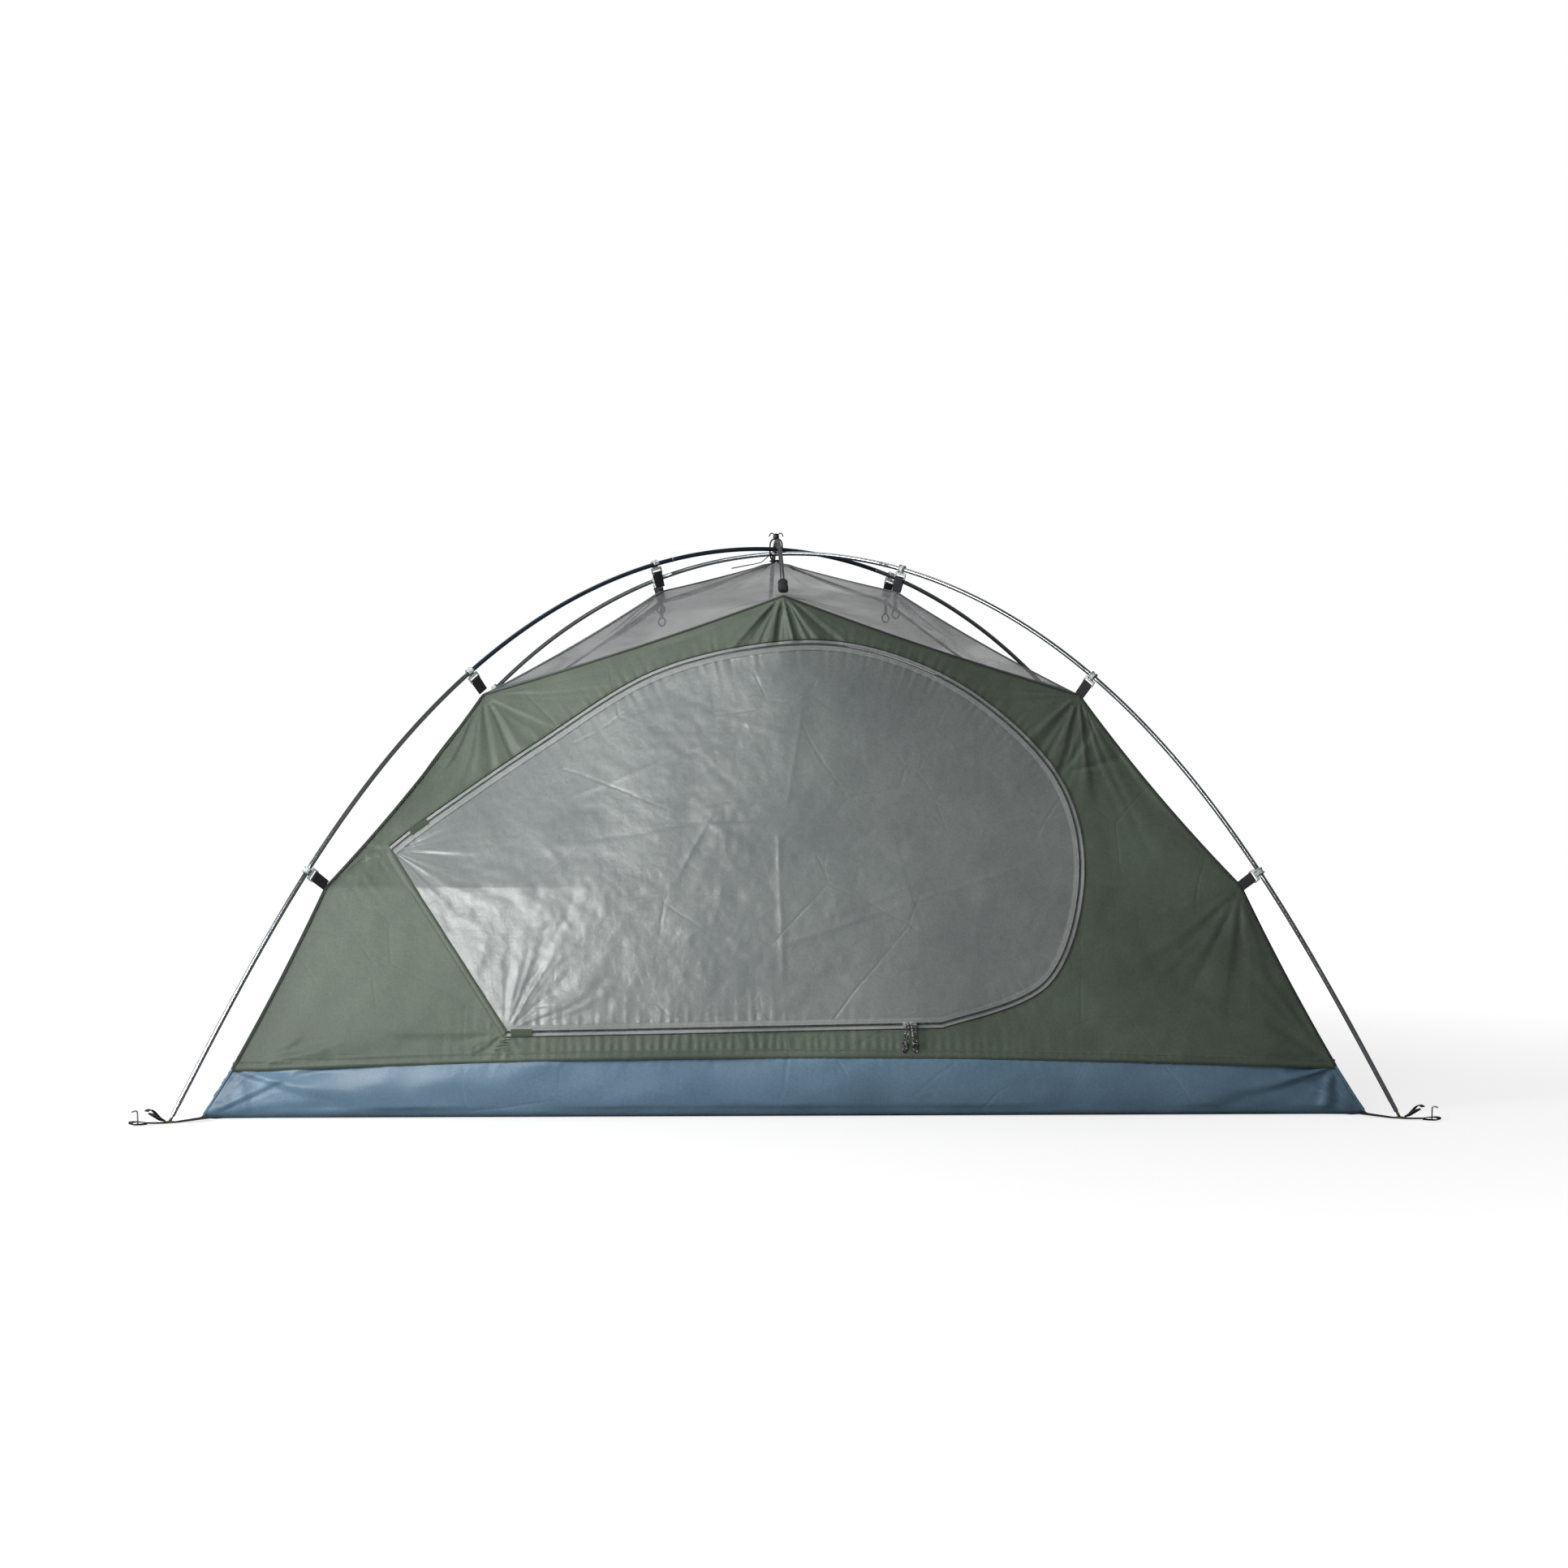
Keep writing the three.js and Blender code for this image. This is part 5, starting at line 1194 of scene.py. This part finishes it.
def clip_parts():
    """A pole clip in its own axes: pole along Z, cloth towards -Y. Hook and slotted plate."""
    inner, outer = 0.00465, 0.00725
    angles = np.linspace(-math.pi / 2, -math.pi / 2 + 2 * math.pi - 1.5, 28)
    centre = (inner + outer) / 2
    path = np.stack([centre * np.cos(angles), centre * np.sin(angles), 0 * angles], -1)
    radial = np.stack([np.cos(angles), np.sin(angles), 0 * angles], -1)
    upright = np.tile([0.0, 0.0, 1.0], (28, 1))
    hook = swept(path, strap_section(0.012, outer - inner), upright, radial)
    ribs = []
    for z in (-0.0042, 0.0042):
        arc = slice(0, 25)
        ribs.append(swept(path[arc] + radial[arc] * 0.0016 + [0, 0, z], strap_section(0.0016, 0.0022),
            upright[arc], radial[arc]))
    plate_top = -outer + 0.0008
    bars = [
        block((0.0034, 0.0052, 0.022), (0, plate_top - 0.0026, 0), 0.0006),
        block((0.0032, 0.0030, 0.024), (0, plate_top - 0.0115, 0), 0.0008),
        block((0.0030, 0.0120, 0.0026), (0, plate_top - 0.0066, 0.0107), 0.0006),
        block((0.0030, 0.0120, 0.0026), (0, plate_top - 0.0066, -0.0107), 0.0006),
        block((0.0060, 0.0040, 0.0016), (0, plate_top - 0.0015, 0), 0.0003),
    ]
    return [hook, *ribs, *bars]


def clip_tab(end):
    """Webbing folded over the plate's lower bar and sewn into the seam at its end."""
    turn = np.linspace(0, math.pi, 9)
    top = -0.0178
    bend = np.stack([-0.0026 * np.cos(turn), top + 0.0026 * np.sin(turn), 0 * turn], -1)
    down = np.linspace(0, 1, 9)[:, None]
    left = lerp(np.array([-0.0009, end, 0]), np.array([-0.0026, top, 0]), down ** 0.6)
    path = np.concatenate([left[:-1], bend, (left * [-1, 1, 1])[::-1][1:]])
    return ribbon(path, 0.0195, 0.0011, [0.0, 0.0, 1.0])


def gear_loop():
    """A small ring on a loop of tape, inside the roof under an upper clip."""
    turn = np.linspace(0, 2 * math.pi, 20)[:-1]
    ring = np.stack([0.0085 * np.sin(turn), 0 * turn, -0.040 + 0.0085 * np.cos(turn)], -1)
    strap = np.array([[0, 0, 0], [0.0012, 0, -0.012], [0.001, 0, -0.024], [0, 0, -0.0325]])
    return [hoop(ring, 0.0017, 8), swept(spaced(strap, 8), strap_section(0.008, 0.0014))]


def build_clips():
    loops = []
    for leg, (letter, sign) in LEGS.items():
        for level, station in CLIP_STATIONS.items():
            point, tangent, normal = (v[0] for v in pole_frame(letter, sign * station))
            axes = [np.cross(normal, tangent), normal, tangent]
            name = f"clip_{level}_{leg}"
            piece(f"{name}_hook", [moved(p, axes, point) for p in clip_parts()], "clear",
                replaces=(name,), sharp=35)
            piece(f"{name}_tab", [moved(clip_tab(-CLIP_DROP + 0.001), axes, point)], "webbing")
            if level == "upper":
                root = point - normal * (CLIP_DROP + 0.003)
                loops += [moved(p, [unit([tangent[0], tangent[1], 0]), unit([-tangent[1], tangent[0], 0]),
                    [0, 0, 1]], root) for p in gear_loop()]
    piece("gear_loops", loops, "webbing")


build_clips()

# ---- corner straps, pegs and buckles ------------------------------------------------


def refined(node, name, edge, finish, body):
    """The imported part's own shape with its doubles merged and its edges eased."""
    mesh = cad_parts[node].data.copy()
    made = bmesh.new()
    made.from_mesh(mesh)
    bmesh.ops.remove_doubles(made, verts=made.verts, dist=2e-5)
    bmesh.ops.dissolve_limit(made, angle_limit=0.02, verts=made.verts, edges=made.edges)
    sharp = [e for e in made.edges if len(e.link_faces) == 2 and e.calc_face_angle(0) > 0.6]
    bmesh.ops.bevel(made, geom=sharp, offset=edge, segments=2, profile=0.5, affect="EDGES",
        clamp_overlap=True)
    made.to_mesh(mesh)
    made.free()
    result = shown(name, mesh, FINISH[finish], body, (node,))
    mesh.set_sharp_from_angle(angle=math.radians(45))
    return result


def strap_parts():
    """The corner's webbing, outwards along +X from the tub's corner, with its stake loop."""
    tub_end = -(FOOT_REACH - float(np.hypot(*TUB_HALF)))
    x = np.array([tub_end + 0.001, tub_end + 0.008, -0.026, -0.016, 0.0, 0.014, 0.03, 0.046])
    z = np.array([0.0075, 0.005, 0.0022, 0.0014, 0.0013, 0.0014, 0.0022, 0.0032])
    width = np.array([0.036, 0.034, 0.024, 0.020, 0.020, 0.020, 0.020, 0.020])
    path = np.stack([x, 0 * x, z], -1)
    side = np.tile([0.0, 1.0, 0.0], (len(x), 1))
    up = np.tile([0.0, 0.0, 1.0], (len(x), 1))
    base = swept(path, strap_section(1.0, 1.0), side, up,
        np.stack([width, np.full(8, 0.0022)], -1))
    out = np.array([0.046, 0.056, 0.066, 0.0725, 0.0745, 0.0725, 0.066, 0.056, 0.046])
    high = np.array([0.0042, 0.0058, 0.0068, 0.006, 0.0042, 0.0022, 0.0014, 0.0013, 0.0016])
    loop_path = spaced(np.stack([out, 0 * out, high], -1), 26)
    return [base, ribbon(loop_path, 0.019, 0.0012, [0.0, 1.0, 0.0])]


def grommet():
    """The stamped eyelet that takes a pole's tip."""
    return lathe([(0.0045, 0.0006), (0.0078, 0.0006), (0.0082, 0.0014), (0.0080, 0.0030), (0.0066, 0.0037),
        (0.0052, 0.0034), (0.0045, 0.0026)], 28, (0, 0, 0))


def peg():
    """A bent wire peg standing in the stake loop, shown down to the ground."""
    bend = np.array([[0.060, 0.0, 0.0004], [0.0602, 0.0, 0.010], [0.0606, 0.0, 0.0215], [0.0616, 0.0, 0.0245],
        [0.064, 0.0, 0.0255], [0.068, 0.0, 0.0250], [0.0715, 0.0, 0.0236]])
    return swept(spaced(spline(bend, 6), 26), round_section(0.0014, 10))


def buckle_tail():
    """A short doubled end of webbing through the ladder buckle."""
    path = np.array([[0.0165, 0, 0.0082], [0.0205, 0, 0.0125], [0.0260, 0, 0.0185], [0.0310, 0, 0.0235],
        [0.0355, 0, 0.0262], [0.0400, 0, 0.0258], [0.0440, 0, 0.0235]])
    return ribbon(spaced(spline(path, 5), 20), 0.0175, 0.0013, [0.0, 1.0, 0.0])


def build_corners():
    for leg, (letter, sign) in LEGS.items():
        heading = POLES[letter][0] * sign
        axes = [[*heading, 0], [-heading[1], heading[0], 0], [0, 0, 1]]
        origin = [*(heading * FOOT_REACH), 0]
        piece(f"corner_webbing_{leg}", [moved(p, axes, origin) for p in strap_parts()], "webbing",
            replaces=(f"corner_strap_{leg}",))
        piece(f"grommet_{leg}", [moved(grommet(), axes, origin)], "brass")
        piece(f"peg_{leg}", [moved(peg(), axes, origin)], "steel")
        body = f"buckle_{leg}_body"
        refined(f"ladder_buckle_{leg}", f"buckle_{leg}", 0.0007, "black", body)
        piece(f"buckle_tail_{leg}", [moved(buckle_tail(), axes, origin)], "webbing", body)


build_corners()

# ---- ridge pockets and the tie at the crossing --------------------------------------


def pocket_parts(side):
    """A webbing cup over the ridge pole's end, flattened at its foot, with a rolled rim."""
    stations = np.array([0.0315, 0.031, 0.028, 0.02, 0.01, 0.002, -0.004, -0.0048])
    reach = RIDGE_LENGTH / 2 - stations
    point, _, normal = ridge_frame(side * reach)
    width = np.array([0.0062, 0.0075, 0.0082, 0.0092, 0.0098, 0.0098, 0.0094, 0.008])
    height = np.array([0.0060, 0.0068, 0.0066, 0.0064, 0.0062, 0.0060, 0.0048, 0.003])
    across = np.tile([1.0, 0.0, 0.0], (len(stations), 1))
    cup = swept(point, round_section(1.0, 24), across, normal, np.stack([width, height], -1))
    rim_point, _, rim_normal = ridge_frame(np.repeat(side * (RIDGE_LENGTH / 2 - 0.030), 2))
    turn = np.linspace(0, 2 * math.pi, 26)[:-1]
    ring = rim_point[0] + np.outer(np.cos(turn) * 0.0082, [1, 0, 0])
    ring = ring + np.outer(np.sin(turn) * 0.0070, rim_normal[0])
    return [cup, hoop(ring, 0.0012, 8)]


def build_tie():
    """The ridge pockets, the tie round the crossing, its lock and its pull tab."""
    for side, word in ((-1, "front"), (1, "rear")):
        piece(f"pocket_{word}", pocket_parts(side), "webbing",
            replaces=(f"ridge_pocket_{word}",))
    low, high = APEX[2] + 0.0035, RIDGE_TOP + POLE_RADIUS + 0.0021
    turn = np.linspace(0, 2 * math.pi, 41)[:-1]
    shape = np.stack([np.sign(np.cos(turn)) * np.abs(np.cos(turn)) ** 0.6 * 0.0125, 0 * turn,
        (low + high) / 2 + np.sign(np.sin(turn)) * np.abs(np.sin(turn)) ** 0.6 * (high - low) / 2], -1)
    loop = hoop(shape, 0.0015, 10)
    patch = block((0.026, 0.026, 0.0016), (0, 0, low - 0.0012), 0.0005)
    piece("crossing_loop", [loop, patch], "elastic", replaces=("crossing_tie",))
    barrel = [(0.0012, 0.0), (0.0052, 0.0004), (0.0060, 0.0022), (0.0060, 0.0060), (0.0050, 0.0084),
        (0.0012, 0.0088)]
    button = [(0.0008, 0.0086), (0.0036, 0.0088), (0.0038, 0.0104), (0.0030, 0.0112),
        (0.0008, 0.0114)]
    piece("cord_lock", [lathe(barrel, 20, (0, 0, high)), lathe(button, 20, (0, 0, high))], "black")
    ends = []
    for s in (-1, 1):
        line = spline([[s * 0.002, 0, high + 0.006], [s * 0.007, -0.001, high + 0.0115],
            [s * 0.0115, -0.002, high + 0.0105], [s * 0.014, -0.003, high + 0.005]], 6)
        ends.append(swept(line, round_section(0.0012, 8)))
    piece("cord_lock_ends", ends, "tab")
    start = np.array([-0.0125, -0.002, 1.0665])
    route = spline([start, [-0.020, -0.004, 1.0600], [-0.030, -0.006, 1.0515], [-0.042, -0.008, 1.0478],
        [-0.056, -0.010, 1.0452]], 6)
    tab_line = spline([[-0.056, -0.010, 1.0452], [-0.066, -0.011, 1.0432], [-0.079, -0.012, 1.0405],
        [-0.090, -0.013, 1.0382]], 5)
    tab = piece("pull_tab", [swept(tab_line, strap_section(0.009, 0.0018))], "webbing")
    leash = cord_curve("tab_leash", route, 0.0018, "elastic")
    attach(leash, "root")


def cord_curve(name, route, diameter, finish):
    """A round cord along a route of points."""
    curve = bpy.data.curves.new(name, "CURVE")
    curve.dimensions = "3D"
    curve.bevel_depth = diameter / 2
    curve.bevel_resolution = 3
    curve.use_fill_caps = True
    line = curve.splines.new("POLY")
    line.points.add(len(route) - 1)
    for spot, place in zip(line.points, route):
        spot.co = (*place, 1.0)
    curve.materials.append(FINISH[finish])
    return in_scene(name, curve)


build_tie()

# ---- zip sliders and their pulls ----------------------------------------------------

SLIDER_X, NOSE_GAP = 0.222, 0.0008
SLIDER_EYE, PULL_OUT = 0.0070, 0.0012
PULL_DIAMETER, PULL_HANG, PULL_SPREAD, PULL_LEAN = 0.0025, 0.050, 0.0056, 0.004


def pull_route(direction):
    """Doubled cord from the slider's eye, down, round and up again, resting on the tub."""
    x = SLIDER_X + direction * NOSE_GAP / 2
    z = float(np.interp(x, [HINGE_FOOT[0], SILL_END[0]], [HINGE_FOOT[1], SILL_END[1]]))
    y = -float(wall_depth(0.0, z)) - 0.001 - 0.0017
    eye = np.array([x + direction * 0.0055, y - SLIDER_EYE - PULL_OUT, z])
    lean = direction * PULL_LEAN
    half = PULL_SPREAD / 2

    def strand(dx, dz, out):
        return eye + [dx, -out, dz]

    def down(side):
        return [strand(side * half, 0.003, 0.003), strand(side * half, -0.006, 0.00345),
            strand(side * half + lean * 0.4, -PULL_HANG / 2, 0.0075),
            strand(side * half + lean, -PULL_HANG + half, 0.0075)]

    return [*down(-1), strand(lean, -PULL_HANG, 0.0075), *down(1)[::-1]], eye, lean


def build_pulls():
    for side, turn in SIDES.items():
        flip = np.array([-1, -1, 1]) if turn else np.ones(3)
        for word, direction in (("left", -1), ("right", 1)):
            body = f"{side}_slider_{word}_body"
            refined(f"{side}_zip_slider_{word}", f"{side}_slider_{word}", 0.0005, "zinc", body)
            points, eye, lean = pull_route(direction)
            route = spaced(spline(points, 10), 40) * flip
            knot_at = (eye + [lean * 0.75, -0.0075, -0.034]) * flip
            turnings = np.linspace(0, 4 * math.pi, 40)
            coil = knot_at + np.stack([0.0044 * np.cos(turnings), 0.0026 * np.sin(turnings),
                (turnings / (4 * math.pi) - 0.5) * 0.005], -1)
            knot = piece(f"{side}_pull_knot_{word}", [swept(coil, round_section(0.00115, 8))], "pull", body)
            name = f"{side}_zip_pull_{word}"
            pull = cord_curve(f"{side}_pull_{word}", route, PULL_DIAMETER, "pull")
            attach(pull, body)
            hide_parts(name)


build_pulls()

for node in ("pole_a_shock_cord", "pole_b_shock_cord", "ridge_pole_shock_cord"):
    inside_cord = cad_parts[node]
    for k in range(len(inside_cord.material_slots)):
        inside_cord.material_slots[k].material = FINISH["elastic"]

# ---- floor, light and camera --------------------------------------------------------


def pointing(look):
    """The turn that points a lamp or camera along a direction."""
    return Vector(look.tolist()).to_track_quat("-Z", "Y").to_euler()


def build_stage():
    ring = [(math.cos(k * math.pi / 32) * 14, math.sin(k * math.pi / 32) * 14, -0.0006) for k in range(64)]
    mesh = bpy.data.meshes.new("studio_floor")
    mesh.from_pydata(ring, [], [list(range(64))])
    floor = in_scene("studio_floor", mesh)
    pale, tree, shader = blank("white_studio_floor", Roughness=0.9, Specular_IOR_Level=0.1)
    shader.inputs["Base Color"].default_value = linear("9a9a9a")
    shader.inputs["Emission Color"].default_value = linear("ffffff")
    place = add(tree, "ShaderNodeTexCoord").outputs["Object"]
    away = add(tree, "ShaderNodeVectorMath", {0: place}, operation="LENGTH").outputs["Value"]
    paler = remap(tree, away, 0.9, 3.4, 0.72, 1.0)
    lit = add(tree, "ShaderNodeLightPath").outputs["Is Camera Ray"]
    feed(tree, shader, Emission_Strength=reckoned(tree, "MULTIPLY", paler, lit))
    mesh.materials.append(pale)
    world = bpy.data.worlds.new("studio")
    bpy.context.scene.world = world
    world.use_nodes = True
    tree = world.node_tree
    seen = add(tree, "ShaderNodeLightPath").outputs["Is Camera Ray"]
    strength = remap(tree, seen, 0.0, 1.0, 0.15, 1.0)
    tree.nodes["Background"].inputs["Color"].default_value = linear("ffffff")
    tree.links.new(strength, tree.nodes["Background"].inputs["Strength"])
    for name, place, aim, size, spread, power in (
        ("key", (-3.4, -2.2, 2.0), (-0.3, 0, 0.5), 1.4, 180, 112),
        ("door_light", (-1.9, -4.4, 2.4), (-0.66, -0.6, 0.62), 0.9, 46, 7.5),
        ("top", (-0.8, 0.8, 4.2), (0, 0, 0.6), 2.6, 180, 30),
        ("fill", (3.8, -4.6, 1.8), (0.2, 0, 0.4), 2.6, 180, 5),
    ):
        lamp = bpy.data.lights.new(name, "AREA")
        lamp.shape, lamp.size, lamp.energy, lamp.spread = "DISK", size, power, math.radians(spread)
        holder = in_scene(name, lamp)
        holder.location = place
        holder.rotation_euler = pointing(np.array(aim, float) - np.array(place, float))
    camera = bpy.data.cameras.new("camera")
    camera.lens, camera.sensor_width = 70.0, 36.0
    camera.clip_end = 60.0
    holder = in_scene("camera", camera)
    holder.location = (-0.19, -6.18, 0.602)
    holder.rotation_euler = pointing(np.array([0.206, 6.18, 0.0]))
    bpy.context.scene.camera = holder
    bpy.context.scene.view_settings.view_transform = "Standard"


build_stage()
